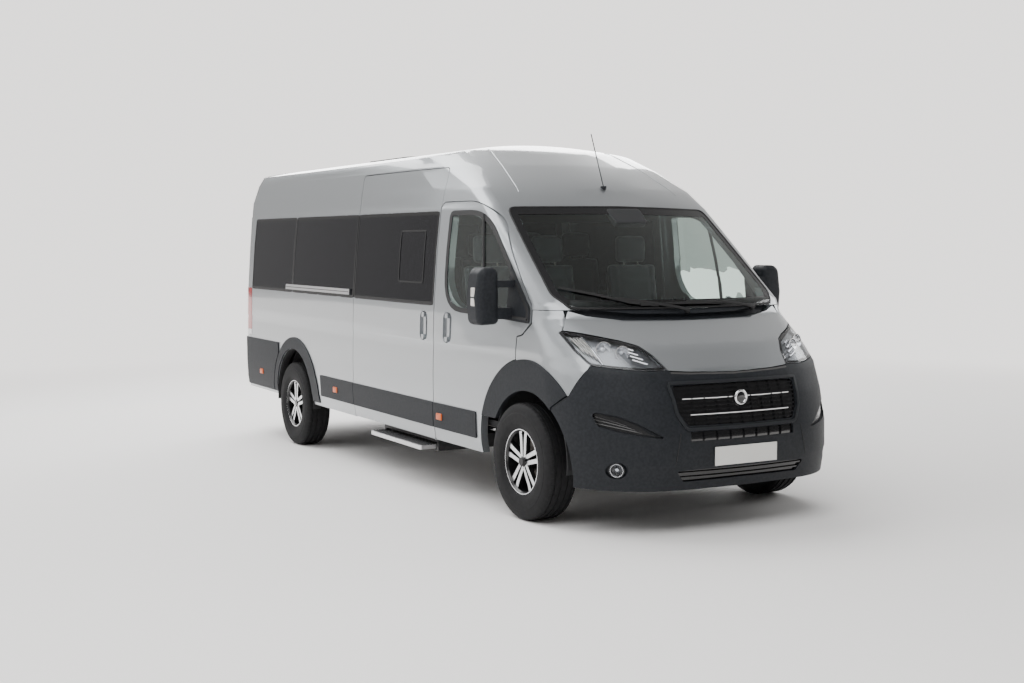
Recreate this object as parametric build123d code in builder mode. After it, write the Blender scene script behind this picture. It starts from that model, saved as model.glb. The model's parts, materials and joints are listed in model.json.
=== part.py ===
from build123d import *
import math
import os

# Minibus, millimetres. +X is the vehicle's left, -Y its front, +Z up, origin on the ground under
# the middle of its box. Every outline is written in stations (distance behind the front bumper's
# tip, along the vehicle) and heights over the ground, with the body level. The sprung pieces are
# then turned nose down by the stance angle about the front axle, as the empty vehicle stands.

# ---- driving dimensions -------------------------------------------------------------------
overall_length = 6363
body_rear = 6345       # station of the rear doors' skin, the bumper stands behind it
front_overhang = 948
wheelbase = 4035
axle_height = 365
front_track = 1810
rear_track = 1790
stance_degrees = 0.95

tyre_radius = 365        # the tyre stands on the ground
tyre_width = 225
rim_radius = 212
spoke_pairs = 5

skin = 5            # depth of a bonded pane
wall = 80           # whole side wall
door_depth = 52     # front, sliding and rear doors
roof_depth = 45
bumper_depth = 30
wing_depth = 26
bonnet_depth = 30
proud = 8           # cladding over the painted skin
panel_gap = 6
dish_depth = 22     # of the handles' dishes
swing_room = 15     # between a door's inner face and the flange behind it

floor_top = 560
floor_depth = 40
sill_bottom = 350
side_bottom = 345
roof_rear_radius = 260

# body sections: height, half width, cab taper, nose station, radius of the front,
# radius of the front corner, station from which the sides run parallel, radius of the rear corner
sections = [
    (270, 985, 30, 40, 3600, 560, 2145, 200),
    (440, 1008, 32, 0, 3600, 620, 2145, 200),
    (600, 1016, 34, 10, 3600, 620, 2145, 200),
    (803, 1018, 38, 63, 3200, 600, 2145, 200),
    (964, 1015, 42, 136, 3000, 560, 2145, 200),
    (1022, 1012, 42, 201, 2910, 525, 2145, 200),      # swage along the flank
    (1036, 1016, 46, 217, 2890, 515, 2145, 200),
    (1100, 1014, 50, 290, 2800, 480, 2145, 200),
    (1237, 1011, 56, 520, 2500, 300, 2145, 200),
    (1262, 1010, 57, 560, 2400, 240, 2145, 200),
    (1344, 1004, 60, 613, 2400, 160, 2145, 200),
    (1667, 981, 60, 1011, 2400, 130, 2145, 190),
    (1950, 951, 54, 1360, 2400, 130, 2145, 160),      # gutter over the windows
    (1960, 946, 49, 1372, 2400, 130, 2145, 160),
    (2086, 931, 40, 1549, 2200, 160, 2300, 150),
    (2250, 903, 24, 1850, 1700, 300, 2600, 260),
    (2372, 880, 10, 2127, 1300, 400, 3000, 460),
    (2450, 860, 5, 2500, 1200, 450, 3300, 500),
]
taper_station = 950      # where the cab taper is measured
roof_crown = 2432
roof_edge = 2325
roof_edge_half = 880

front_axle = front_overhang
rear_axle_station = front_overhang + wheelbase
far = 1200               # past any side
stance_axis = Axis((0, front_axle - overall_length / 2, axle_height), (1, 0, 0))


def at(station):
    """Model Y of a station."""
    return station - overall_length / 2


os.makedirs("parts", exist_ok=True)


def save(piece, name, sprung=True):
    """Give a finished piece the stance of the body if it is sprung, label it and write it."""
    shape = piece.part
    if sprung:
        shape = shape.rotate(stance_axis, stance_degrees)
    shape.label = name
    export_step(shape, f"parts/{name}.step")


def save_pair(piece, name, sprung=True):
    """Write a piece of the vehicle's right side and its mirror image on the left."""
    save(piece, f"{name}_right", sprung)
    with BuildPart() as other:
        mirror(piece.part, about=Plane.YZ)
    save(other, f"{name}_left", sprung)


# ---- cutting tools ------------------------------------------------------------------------
def outline(corners, grow=0):
    """Flat face from corners (a, b) or (a, b, radius), grown all round by an amount."""
    with BuildSketch() as flat:
        with BuildLine():
            Polyline(*[corner[:2] for corner in corners], close=True)
        make_face()
        for corner in corners:
            if len(corner) == 3:
                fillet(flat.vertices().sort_by_distance(corner[:2])[0], corner[2])
        if grow:
            offset(amount=grow, kind=Kind.INTERSECTION)
    return flat.sketch


def side_prism(x_from, x_to, corners, grow=0):
    """Prism across the vehicle, from (station, height) corners."""
    with BuildPart() as prism:
        with BuildSketch(Plane.YZ.offset(x_from)):
            add(outline([(at(c[0]), *c[1:]) for c in corners], grow))
        extrude(amount=x_to - x_from)
    return prism.part


def front_prism(s_from, s_to, corners, grow=0):
    """Prism along the vehicle, from (x, height) corners."""
    with BuildPart() as prism:
        with BuildSketch(Plane.XZ.offset(-at(s_to))):
            add(outline(corners, grow))
        extrude(amount=s_to - s_from)
    return prism.part


def block(x_range, s_range, z_range):
    """Plain block from its x, station and height ranges."""
    with BuildPart() as made:
        with BuildSketch(Plane.XY.offset(z_range[0])):
            with Locations(((x_range[0] + x_range[1]) / 2, at((s_range[0] + s_range[1]) / 2))):
                Rectangle(x_range[1] - x_range[0], s_range[1] - s_range[0])
        extrude(amount=z_range[1] - z_range[0])
    return made.part


def drum(station, height, radius, x_from, x_to):
    """Cylinder across the vehicle."""
    with BuildPart() as made:
        with BuildSketch(Plane.YZ.offset(x_from)):
            with Locations((at(station), height)):
                Circle(radius)
        extrude(amount=x_to - x_from)
    return made.part


def both_halves(corners):
    """Half a front outline, from the middle outwards, closed by its mirror image."""
    return [*corners, *[(-c[0], *c[1:]) for c in reversed(corners) if c[0]]]


def cut_piece(layer_out, layer_in, *regions, less=()):
    """Piece of the body between two envelopes, inside every region, less some cutters."""
    with BuildPart() as piece:
        add(layer_out)
        for region in regions:
            add(region, mode=Mode.INTERSECT)
        if layer_in is not None:
            add(layer_in, mode=Mode.SUBTRACT)
        for cutter in less:
            add(cutter, mode=Mode.SUBTRACT)
    return piece


# ---- body envelope ------------------------------------------------------------------------
def section_sketch(row, inset):
    height, half, taper, nose, front_r, corner_r, parallel, rear_r = row
    half -= inset
    nose += inset
    front_r -= inset
    rear = body_rear - inset
    x_front = half - taper * (parallel - taper_station) / (2145 - taper_station)
    s_front = nose + front_r - math.sqrt(front_r ** 2 - x_front ** 2)
    with BuildSketch(Plane.XY.offset(height)) as sketch:
        with BuildLine():
            ThreePointArc((-x_front, at(s_front)), (0, at(nose)), (x_front, at(s_front)))
            Polyline((x_front, at(s_front)), (half, at(parallel)), (half, at(rear)),
                     (-half, at(rear)), (-half, at(parallel)), (-x_front, at(s_front)))
        make_face()
        fillet(sketch.vertices().filter_by_position(Axis.Y, at(s_front - 1), at(s_front + 1)),
               max(corner_r - inset, 30))
        fillet(sketch.vertices().filter_by_position(Axis.Y, at(rear - 1), at(rear + 1)),
               rear_r - inset)
    return sketch.sketch


def envelope(inset, top_inset=None):
    """Outer body brought in by an inset, its roof by another."""
    top_inset = inset if top_inset is None else top_inset
    crown, edge = roof_crown - top_inset, roof_edge - top_inset
    with BuildPart() as hull:
        loft([section_sketch(row, inset) for row in sections], ruled=True)
        # crown of the roof, with round shoulders
        with BuildSketch(Plane.XZ.offset(-at(overall_length + 10))):
            with BuildLine():
                ThreePointArc((-roof_edge_half, edge), (0, crown), (roof_edge_half, edge))
                Polyline((roof_edge_half, edge), (far, edge - 330), (far, 200), (-far, 200),
                         (-far, edge - 330), (-roof_edge_half, edge))
            make_face()
        extrude(amount=overall_length + 20, mode=Mode.INTERSECT)
        # round rear edge of the roof
        with BuildSketch(Plane.YZ.offset(-far)):
            with BuildLine():
                rear, radius = at(body_rear) - inset, roof_rear_radius - top_inset
                top = roof_crown + 40 - top_inset
                Polyline((rear - radius, top), (at(-100), top), (at(-100), 200), (rear, 200),
                         (rear, top - radius))
                RadiusArc((rear, top - radius), (rear - radius, top), -radius)
            make_face()
        extrude(amount=2 * far, mode=Mode.INTERSECT)
    return hull.part


outer = envelope(0)
under_pane = envelope(skin)
over_trim = envelope(-proud)
inner_door = envelope(door_depth)
behind_door = envelope(door_depth + swing_room)
inner_wall = envelope(wall, roof_depth)
inner_bumper = envelope(bumper_depth)
inner_wing = envelope(wing_depth)
inner_bonnet = envelope(bonnet_depth)

# ---- outlines of the panels ---------------------------------------------------------------
belt = 1285
window_top = 1932
door_split = 2145        # gap between front and sliding door
slider_end = 3575
pane_split = 4965
pane_end = 6060
roof_seam = 2250
arch_reach = 950         # arches are cut outside this half width

flare_front = (905, 440, 563)      # station, height, radius of its outer line
arch_front = (885, 366, 446)       # of its inner line
flare_rear = (4890, 330, 560)
arch_rear = (4925, 345, 442)

front_door_corners = [
    (door_split - 5, sill_bottom, 25), (door_split - 5, 1993, 45), (1534, 1993, 620), (912, 1336, 12),
    (896, 1228, 10), (985, 1152, 50), (1045, 1140, 14), (1045, sill_bottom)]
front_window_corners = [
    (2012, 1932, 50), (2012, 1262, 300), (1400, 1246), (910, 1226), (921, 1316, 10), (1552, 1932, 560)]
sail_rear = 1190
sliding_door_corners = [
    (door_split + 3, sill_bottom, 20), (slider_end, sill_bottom, 20), (slider_end, 2235, 40),
    (door_split + 3, 2235, 40)]
rear_door_corners = [(4.5, 568, 8), (868, 568, 30), (866, belt), (812, window_top), (765, 2240, 60),
                     (4.5, 2240, 8)]
rear_opening_corners = [(0, 300), (874, 300), (872, belt), (818, window_top), (771, 2246), (0, 2246)]
rear_window_corners = [(70, belt, 50), (735, belt, 50), (690, window_top, 50), (70, window_top, 50)]
windscreen_corners = both_halves([(0, 1262), (491, 1270), (788, 1312, 20), (856, 1400, 40), (830, 1672),
                                  (798, 1952, 50), (0, 1962)])
bonnet_corners = both_halves([(0, 953), (300, 962), (446, 972, 8), (482, 1050, 60), (540, 1112, 60),
                              (626, 1140), (797, 1180), (884, 1196), (1100, 1240), (1100, 1303),
                              (800, 1303), (700, 1272), (491, 1246), (0, 1240)])
bonnet_rear = [(0, 900), (560, 900), (653, 1190), (675, 1224), (709, 1264), (728, 1312), (0, 1312)]
lamp_corners = [(452, 974), (484, 1044, 60), (542, 1106, 60), (627, 1134), (798, 1173), (884, 1189, 8),
                (900, 1180, 8), (884, 1085, 60), (848, 1000, 40), (719, 984), (591, 973)]
grille_corners = both_halves([(0, 890), (300, 889), (462, 885, 25), (442, 730, 40), (396, 656, 25), (0, 652)])
slot_corners = both_halves([(0, 622), (386, 622, 6), (386, 566, 6), (0, 566)])
intake_corners = both_halves([(0, 404), (390, 400), (478, 396, 8), (424, 330, 12), (0, 334)])

bonnet_hinge = (735, 1310)       # station and height of its axis

# ---- body panels --------------------------------------------------------------------------
R, L = -1, 1                                  # vehicle's right and left as signs of x
SIDES = {"right": R, "left": L}


def reach(side, inner=700):
    """x range from well inside the wall to outside the body on one side."""
    return (-far, -inner) if side == R else (inner, far)


def side_shape(side, corners, grow=0, inner=700):
    x_from, x_to = reach(side, inner)
    return side_prism(x_from, x_to, corners, grow)


def door_opening(side, corners, lap=24, inner=700):
    """Cutters of a doorway: the door's own depth and, behind its lap, the rest of the wall."""
    with BuildPart() as outer_step:
        add(side_shape(side, corners, panel_gap, inner))
        add(behind_door, mode=Mode.SUBTRACT)
    return [outer_step.part, side_shape(side, corners, -lap, inner)]


def pane_pocket(side, corners, margin=45):
    """Cutters of a bonded pane: its own shallow seat and the light opening inside it."""
    with BuildPart() as seat:
        add(side_shape(side, corners, 1))
        add(under_pane, mode=Mode.SUBTRACT)
    return [seat.part, side_shape(side, corners, -margin)]


def rect(s_from, s_to, z_from, z_to, radius=None):
    corners = [(s_from, z_from), (s_to, z_from), (s_to, z_to), (s_from, z_to)]
    return [(*c, radius) for c in corners] if radius else corners


panes = {
    "slider": rect(door_split + 15, slider_end, belt, window_top, 14),
    "middle": rect(slider_end + panel_gap, pane_split - 3, belt, window_top, 14),
    "rear": rect(pane_split + 3, pane_end, belt, window_top, 14),
}
lamp_wrap = 286           # how far the tail lamps reach round the corner
tail_lamp_corners = [(874, 840, 12), (far, 840), (far, 1290), (874, 1290, 12)]
fixed_panes = {R: ("middle", "rear"), L: ("slider", "middle", "rear")}

# the rear corners' inner faces stand clear of the room over the seats
head_room = block((-801, 801), (2700, 6262), (1800, 2145))
for word, side in SIDES.items():
    x_from, x_to = reach(side, 600)
    quarter = side_prism(x_from, x_to, [
        (door_split, side_bottom), (body_rear + 10, side_bottom), (body_rear + 10, roof_seam),
        (door_split, roof_seam)])
    cutters = [*door_opening(side, front_door_corners)]
    if side == R:
        cutters += door_opening(side, sliding_door_corners)
    for name in fixed_panes[side]:
        cutters += pane_pocket(side, panes[name])
    cutters.append(drum(arch_rear[0], arch_rear[1], arch_rear[2], x_from, x_to))
    cutters.append(front_prism(body_rear - 170, body_rear + 30, both_halves(rear_opening_corners)))
    lamp_cut = [(side * c[0], *c[1:]) for c in tail_lamp_corners]
    with BuildPart() as lamp_seat:
        add(front_prism(body_rear - lamp_wrap - 1, body_rear + 30, lamp_cut, 1))
        add(envelope(40), mode=Mode.SUBTRACT)
    cutters += [lamp_seat.part, head_room]
    body_side = cut_piece(outer, inner_wall, quarter, less=cutters)
    save(body_side, f"side_{word}")

# roof with the cab's dome, its header and its pillars
with BuildPart() as roof_region:
    add(block((-far, far), (500, door_split), (1310, 2600)))
    add(block((-far, far), (door_split, body_rear + 10), (roof_seam, 2600)))
with BuildPart() as screen_seat:
    add(front_prism(450, 1600, windscreen_corners, 1))
    add(envelope(skin + 3), mode=Mode.SUBTRACT)
roof = cut_piece(outer, inner_wall, roof_region.part, less=[
    *door_opening(R, front_door_corners, 24, 500), *door_opening(L, front_door_corners, 24, 500),
    front_prism(450, 2000, windscreen_corners, -45), screen_seat.part])
save(roof, "roof")

windscreen = cut_piece(outer, envelope(skin + 2.5), front_prism(450, 1600, windscreen_corners),
                       block((-far, far), (450, 1700), (1312, 2100)))
save(windscreen, "windscreen")

handle_proud = envelope(-9)
handle_back = envelope(9)
dish_floor = envelope(dish_depth)


def fit_handle(door, station, z_low, z_high):
    """Sink a dish into a door and bridge it with an upright pull handle."""
    middle = rect(station - 90, station + 90, z_low + 42, z_high - 42)
    with BuildPart() as dish:
        add(side_shape(R, rect(station - 60, station + 60, z_low, z_high, 50)))
        add(dish_floor, mode=Mode.SUBTRACT)
    with BuildPart() as grip_room:
        add(side_shape(R, middle))
        add(handle_back, mode=Mode.SUBTRACT)
    grip = cut_piece(handle_proud, envelope(dish_depth + 4), side_shape(
        R, rect(station - 17, station + 17, z_low + 8, z_high - 8, 15)), less=[grip_room.part])
    with door:
        add(dish.part, mode=Mode.SUBTRACT)
        add(grip.part)


front_door = cut_piece(outer, inner_door, side_shape(R, front_door_corners, 0, 500), less=[
    drum(flare_front[0], flare_front[1], flare_front[2] + 9, -far, far),
    *pane_pocket(R, front_window_corners, 30)])
fit_handle(front_door, 1948, 1036, 1247)
save_pair(front_door, "front_door")
front_door_glass = cut_piece(outer, under_pane, side_shape(R, front_window_corners),
                             block((-far, far), (sail_rear, 2200), (1100, 2000)))
save_pair(front_door_glass, "front_door_glass")
door_strip = cut_piece(over_trim, outer, side_shape(R, rect(1530, door_split - 5, 437, 612, 8)))
save_pair(door_strip, "front_door_strip")

sliding_door = cut_piece(outer, inner_door, side_shape(R, sliding_door_corners),
                         less=pane_pocket(R, panes["slider"]))
fit_handle(sliding_door, 2303, 1033, 1240)
save(sliding_door, "sliding_door")
slider_glass = cut_piece(outer, under_pane, side_shape(R, panes["slider"]))
save(slider_glass, "sliding_door_glass")

with BuildPart() as side_glass:
    for side, names in fixed_panes.items():
        for name in names:
            add(cut_piece(outer, under_pane, side_shape(side, panes[name])).part)
save(side_glass, "side_glass")

slider_rail = cut_piece(envelope(-11), outer, side_shape(R, rect(3656, 5109, 1306, 1350, 6)))
save(slider_rail, "slider_rail")

rear_span = (body_rear - 200, body_rear + 30)
rear_hinge = (887, body_rear + 16)      # x and station of the pins of the rear doors' outside hinges
rear_hinge_lows = (860, 1160)          # between the rear bumper and the windows
barrel_radius, barrel_length = 9, 80
right_leaf = [(-c[0], *c[1:]) for c in rear_door_corners]
right_light = [(-c[0], *c[1:]) for c in rear_window_corners]
with BuildPart() as light_seat:
    add(front_prism(*rear_span, right_light, 1))
    add(under_pane, mode=Mode.SUBTRACT)
rear_door = cut_piece(outer, inner_door, front_prism(*rear_span, right_leaf),
                      less=[light_seat.part, front_prism(*rear_span, right_light, -40)])
with BuildPart() as outside_hinges:
    for hinge_low in rear_hinge_lows:
        with BuildSketch(Plane.XY.offset(hinge_low)):
            with Locations((-rear_hinge[0], at(rear_hinge[1]))):
                Circle(barrel_radius)
            with Locations((-rear_hinge[0] + 17, at(body_rear + 10))):
                Rectangle(40, 12)
            with Locations((-rear_hinge[0] + 36, at(body_rear - 12))):
                Rectangle(30, 56)
        extrude(amount=barrel_length)
with rear_door:
    add(outside_hinges.part)
save_pair(rear_door, "rear_door")
rear_door_glass = cut_piece(outer, under_pane, front_prism(*rear_span, right_light))
save_pair(rear_door_glass, "rear_door_glass")

lamp_front, lamp_back = envelope(-2), envelope(38)
with BuildPart() as tail_lamps:
    for side in SIDES.values():
        lamp_cut = [(side * c[0], *c[1:]) for c in tail_lamp_corners]
        add(cut_piece(lamp_front, lamp_back, front_prism(
            body_rear - lamp_wrap, body_rear + 30, lamp_cut, -1)).part)
save(tail_lamps, "tail_lamps")

cowl_corners = both_halves([(0, 1236), (491, 1242), (700, 1272), (770, 1308), (0, 1308)])
cowl_lip = both_halves([(0, 1278), (400, 1284), (640, 1308), (0, 1308)])

# ---- nose ---------------------------------------------------------------------------------
bumper_top = [(-30, 1000), (120, 990), (200, 985), (398, 1000), (394, 993), (407, 958), (439, 898),
              (473, 823), (613, 736), (760, 640), (760, 260), (-30, 260)]
grille_slats = 9
grille_bottom, grille_top = 652, 890
grille_ribs = [-340, -255, -170, -85, 0, 85, 170, 255, 340]
slot_fins = [-290, -194, -97, 0, 97, 194, 290]
vent_corners = [(888, 742, 20), (862, 655), (780, 626, 40), (680, 606), (560, 590, 6), (560, 600), (680, 672),
                (770, 716, 60)]
fog_centre = (790, 403)
fog_radius = 48
lamp_prisms = [front_prism(0, 760, [(side * c[0], *c[1:]) for c in lamp_corners]) for side in (R, L)]
lamp_seats = [front_prism(0, 760, [(side * c[0], *c[1:]) for c in lamp_corners], 3) for side in (R, L)]
front_arches = drum(arch_front[0], arch_front[1], arch_front[2], -far, far)
grille_hole = front_prism(-40, 320, grille_corners)
slot_hole = front_prism(-40, 320, slot_corners)
intake_hole = front_prism(-40, 320, intake_corners)
bonnet_prism = front_prism(0, 900, bonnet_corners) & side_prism(-far, far, bonnet_rear)
bonnet_seat = front_prism(0, 900, bonnet_corners, 6) & side_prism(-far, far, bonnet_rear, 6)

# vents and fog lamps in the bumper's corners
bumper_pockets = []
fog_lenses = []
for side in (R, L):
    with BuildPart() as vent:
        add(front_prism(-40, 600, [(side * c[0], *c[1:]) for c in vent_corners]))
        add(envelope(17), mode=Mode.SUBTRACT)
    bumper_pockets.append(vent.part)
    for radius, deep, kept in ((fog_radius, 20, bumper_pockets), (fog_radius - 2, None, fog_lenses)):
        with BuildPart() as fog:
            with BuildSketch(Plane.XZ.offset(-at(600))):
                with Locations((side * fog_centre[0], fog_centre[1])):
                    Circle(radius)
            extrude(amount=640)
            if deep:
                add(envelope(deep), mode=Mode.SUBTRACT)
        kept.append(fog.part)

bumper = cut_piece(outer, inner_bumper, side_prism(-far, far, [
    (-30, 980), (330, 1012), (400, 996), (407, 958), (439, 898), (473, 823), (613, 736), (613, 280),
    (-30, 280)]), less=[*lamp_seats, bonnet_seat, grille_hole, slot_hole, intake_hole, front_arches,
                        *bumper_pockets])
save(bumper, "front_bumper")

slat_thick, slat_lowest, slat_pitch = 9, 668, 24.5
lattice_reach = (-40, 320)
lattices = [          # outline of a hole, x of its upright ribs, their width, heights of its level bars
    (grille_corners, grille_ribs, 6, [slat_lowest + row * slat_pitch for row in range(grille_slats)]),
    (slot_corners, slot_fins, 8, []),
    (intake_corners, [], 8, [350, 378]),
]
grille_backing = envelope(14)
with BuildPart() as grille:
    for corners, ribs, rib_width, levels in lattices:
        with BuildSketch(Plane.XZ.offset(-at(lattice_reach[1]))):
            for x in ribs:
                with Locations((x, grille_bottom)):
                    Rectangle(rib_width, grille_top)
            for level in levels:
                with Locations((0, level + slat_thick / 2)):
                    Rectangle(2 * far, slat_thick)
            add(outline(corners), mode=Mode.INTERSECT)
        extrude(amount=lattice_reach[1] - lattice_reach[0])
    add(envelope(4), mode=Mode.INTERSECT)
    for hole in (grille_hole, slot_hole, intake_hole):
        add(cut_piece(grille_backing, None, hole).part)
    add(inner_bumper, mode=Mode.SUBTRACT)
save(grille, "grille")

with BuildPart() as headlamps:
    for prism in lamp_prisms:
        add(cut_piece(envelope(1), envelope(60), prism, less=[bonnet_seat]).part)
    for lens in fog_lenses:
        add(cut_piece(envelope(4), envelope(20), lens).part)
save(headlamps, "headlamps")

bonnet = cut_piece(outer, inner_bonnet, bonnet_prism)
save(bonnet, "bonnet")

wing_region = side_prism(-far, far, [
    (404, 1300), (404, 975), (445, 898), (479, 823), (560, 775), (1200, 775), (1200, 1139), (1040, 1139),
    (975, 1146), (880, 1222), (890, 1306), (404, 1306)])
# the bonnet's rear corners swing past the wings
hinge_reliefs = [drum(bonnet_hinge[0], bonnet_hinge[1], 46, *sorted((side * 728, side * 830))) for side in (R, L)]
with BuildPart() as front_wings:
    add(cut_piece(outer, inner_wing, wing_region, less=[
        *lamp_seats, bonnet_seat, drum(flare_front[0], flare_front[1], flare_front[2], -far, far),
        front_prism(0, 1600, windscreen_corners, 3), block((-400, 400), (0, 1600), (200, 1500)),
        front_prism(400, 1100, cowl_corners, 3), *hinge_reliefs,
        side_prism(-far, far, front_door_corners, panel_gap + 3)]).part)
save(front_wings, "front_wings")

# the cowl lies deeper than the bonnet's rear edge, so that the bonnet can rise past it
cowl = cut_piece(envelope(bonnet_depth + 15), envelope(75), front_prism(400, 1100, cowl_corners))
with cowl:
    add(cut_piece(envelope(9), envelope(60), front_prism(400, 1100, cowl_lip)).part)
save(cowl, "cowl")

with BuildPart() as front_flares:
    for side in SIDES.values():
        add(cut_piece(over_trim, envelope(20), side_shape(side, [
            (482, 826), (617, 738), (617, 600), (1480, 600), (1480, 330), (1700, 330), (1700, 1100), (470, 1100)]),
            drum(*flare_front, -far, far), less=[front_arches]).part)
save(front_flares, "front_flares")

# ---- outer trim of the body ---------------------------------------------------------------
strip_low, strip_high = 437, 612
corner_cladding = [(4862, 300), (body_rear + 40, 300), (body_rear + 40, 818), (4862, 818)]
with BuildPart() as side_cladding:
    for side in SIDES.values():
        ring = cut_piece(over_trim, outer, side_shape(side, rect(4200, 5500, 370, 1000)),
                         drum(*flare_rear, -far, far), less=[drum(*arch_rear, -far, far)])
        add(ring.part)
        lengths = [(door_split + 3, slider_end), (slider_end + panel_gap, 4282)]
        for s_from, s_to in lengths:
            add(cut_piece(over_trim, outer, side_shape(side, rect(s_from, s_to, strip_low, strip_high, 8))).part)
save(side_cladding, "side_cladding")

rear_door_gap = front_prism(body_rear - 170, body_rear + 40, both_halves(
    [(0, 560), (876, 560), (876, 900), (0, 900)]))
with BuildPart() as rear_bumper:
    add(envelope(-11))
    add(block((-far, far), (5300, 6400), (372, 818)), mode=Mode.INTERSECT)
    add(outer, mode=Mode.SUBTRACT)
    add(rear_door_gap, mode=Mode.SUBTRACT)
    add(drum(flare_rear[0], flare_rear[1], flare_rear[2] + 3, -far, far), mode=Mode.SUBTRACT)
    add(block((-866, 866), (body_rear - 70, body_rear + 4), (400, 540)))
save(rear_bumper, "rear_bumper")

# ---- door mirrors -------------------------------------------------------------------------
mirror_corners = [(-1056, 1210, 30), (-1208, 1203, 45), (-1222, 1380), (-1196, 1562, 60), (-1062, 1566, 45)]
mirror_depth = (1108, 1250)     # stations of the housings
with BuildPart() as mirror_housing:
    add(front_prism(*mirror_depth, mirror_corners))
    fillet(mirror_housing.edges().group_by(Axis.Y)[0], 42)
with BuildPart() as mirror_right:
    for arm_low, arm_high in ((1242, 1312), (1440, 1484)):
        add(block((-1080, -900), (1118, 1176), (arm_low, arm_high)))
    add(outer, mode=Mode.SUBTRACT)
    add(cut_piece(envelope(-6), under_pane, side_shape(R, front_window_corners),
                  block((-far, far), (700, sail_rear - 4), (1100, 2000))).part)
    add(mirror_housing.part)
save_pair(mirror_right, "mirror")

# ---- structure ----------------------------------------------------------------------------
fit = 0.5
inside = envelope(wall + fit, roof_depth + fit)
rear_arch_boxes = [block((side * 700, side * far) if side == L else (-far, -700), (4360, 5430), (300, 830))
                   for side in (L, R)]
floor = cut_piece(inside, None, block((-far, far), (1390, 6270), (floor_top - floor_depth, floor_top)),
                  less=rear_arch_boxes)
save(floor, "floor")

with BuildPart() as arch_boxes:
    for low, high in ((700, 900), (-900, -700)):
        outside = high if low > 0 else low
        with BuildSketch(Plane.YZ.offset(low)):
            with Locations((at(4895), 330)):
                Circle(500)
            with Locations((at(4895), 440 - 400)):
                Rectangle(1200, 800, mode=Mode.SUBTRACT)
        extrude(amount=high - low)
        with BuildSketch(Plane.YZ.offset(low + 20 if low > 0 else low)):
            with Locations((at(4895), 330)):
                Circle(480)
        extrude(amount=high - low - 20, mode=Mode.SUBTRACT)
save(arch_boxes, "rear_arch_boxes")

with BuildPart() as underframe:
    for x in (-430, 430):
        add(block((x - 35, x + 35), (1300, 6240), (420, floor_top - floor_depth)))
        add(block((x - 35, x + 35), (170, 1300), (480, 600)))
    for station in (1500, 2300, 3300, 4200, 5600, 6200):
        add(block((-860, 860), (station - 30, station + 30), (450, floor_top - floor_depth)))
    add(block((-500, 500), (130, 170), (480, 600)))
save(underframe, "underframe")

with BuildPart() as firewall:
    add(block((-555, 555), (1050, 1075), (500, 1145)))
    add(block((-880, 880), (1050, 1075), (860, 1145)))
    add(block((-555, 555), (1075, 1390), (640, 660)))
    add(block((-555, 555), (1370, 1390), (floor_top, 640)))
    add(underframe.part, mode=Mode.SUBTRACT)
save(firewall, "firewall")

# linings of the front arches, wide enough for the steered wheels
liner_radius, liner_wall, liner_low = 440, 8, 340
strut_gap = 60
with BuildPart() as arch_liners:
    for side in (R, L):
        add(drum(front_axle, 400, liner_radius, *sorted((side * 560, side * 935))))
    for side in (R, L):
        add(drum(front_axle, 400, liner_radius - liner_wall, *sorted((side * 568, side * 940))),
            mode=Mode.SUBTRACT)
    add(block((-far, far), (0, 2000), (-200, liner_low)), mode=Mode.SUBTRACT)
    add(block((-far, far), (front_axle - 90, front_axle + 90), (200, 560)), mode=Mode.SUBTRACT)
    with BuildSketch(Plane.XY.offset(500)):
        with Locations((-640, at(front_axle + 10)), (640, at(front_axle + 10))):
            Circle(strut_gap)
    extrude(amount=400, mode=Mode.SUBTRACT)
save(arch_liners, "arch_liners")

# ---- running gear -------------------------------------------------------------------------
kingpin = front_track / 2 - 105


def wheel_tyre():
    """Tyre about the X axis, its middle at the origin."""
    half = tyre_width / 2
    widest, shoulder = rim_radius + 74, tyre_radius - 38
    with BuildPart() as tyre:
        with BuildSketch(Plane.XZ):
            with BuildLine():
                Polyline((-half + 18, rim_radius - 8), (-half + 4, rim_radius + 24), (-half, widest),
                         (-half + 8, shoulder), (-half + 22, tyre_radius - 8), (-half + 40, tyre_radius - 1),
                         (0, tyre_radius), (half - 40, tyre_radius - 1), (half - 22, tyre_radius - 8),
                         (half - 8, shoulder), (half, widest), (half - 4, rim_radius + 24),
                         (half - 18, rim_radius - 8), (-half + 18, rim_radius - 8))
            make_face()
        revolve(axis=Axis.X)
    return tyre.part


def wheel_rim():
    """Rim about the X axis, its outer face towards -X."""
    half = tyre_width / 2 - 18
    with BuildPart() as rim:
        with BuildSketch(Plane.XZ):
            with BuildLine():
                Polyline((-half, rim_radius - 8.5), (half, rim_radius - 8.5), (half, rim_radius - 16),
                         (half - 14, rim_radius - 24), (-half + 14, rim_radius - 24),
                         (-half, rim_radius - 14), (-half, rim_radius - 8.5))
            make_face()
        revolve(axis=Axis.X)
        with BuildSketch(Plane.YZ.offset(-half + 22)):
            Circle(68)
        extrude(amount=60)
        # five pairs of spokes, each pair parted by a slot that widens outwards
        with BuildSketch(Plane.YZ.offset(-half + 16)):
            for turn in range(spoke_pairs):
                for hand in (-1, 1):
                    with BuildLine(Location((0, 0, 0), (0, 0, 90 + 360 / spoke_pairs * turn))):
                        Polyline((30, hand * 6), (150, hand * 12), (194, hand * 18), (194, hand * 50),
                                 (150, hand * 40), (60, hand * 32), (30, hand * 24), close=True)
                    make_face()
        extrude(amount=30)
        with BuildSketch(Plane.YZ.offset(-half)):
            Circle(31)
        extrude(amount=half, mode=Mode.SUBTRACT)
    return rim.part


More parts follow.
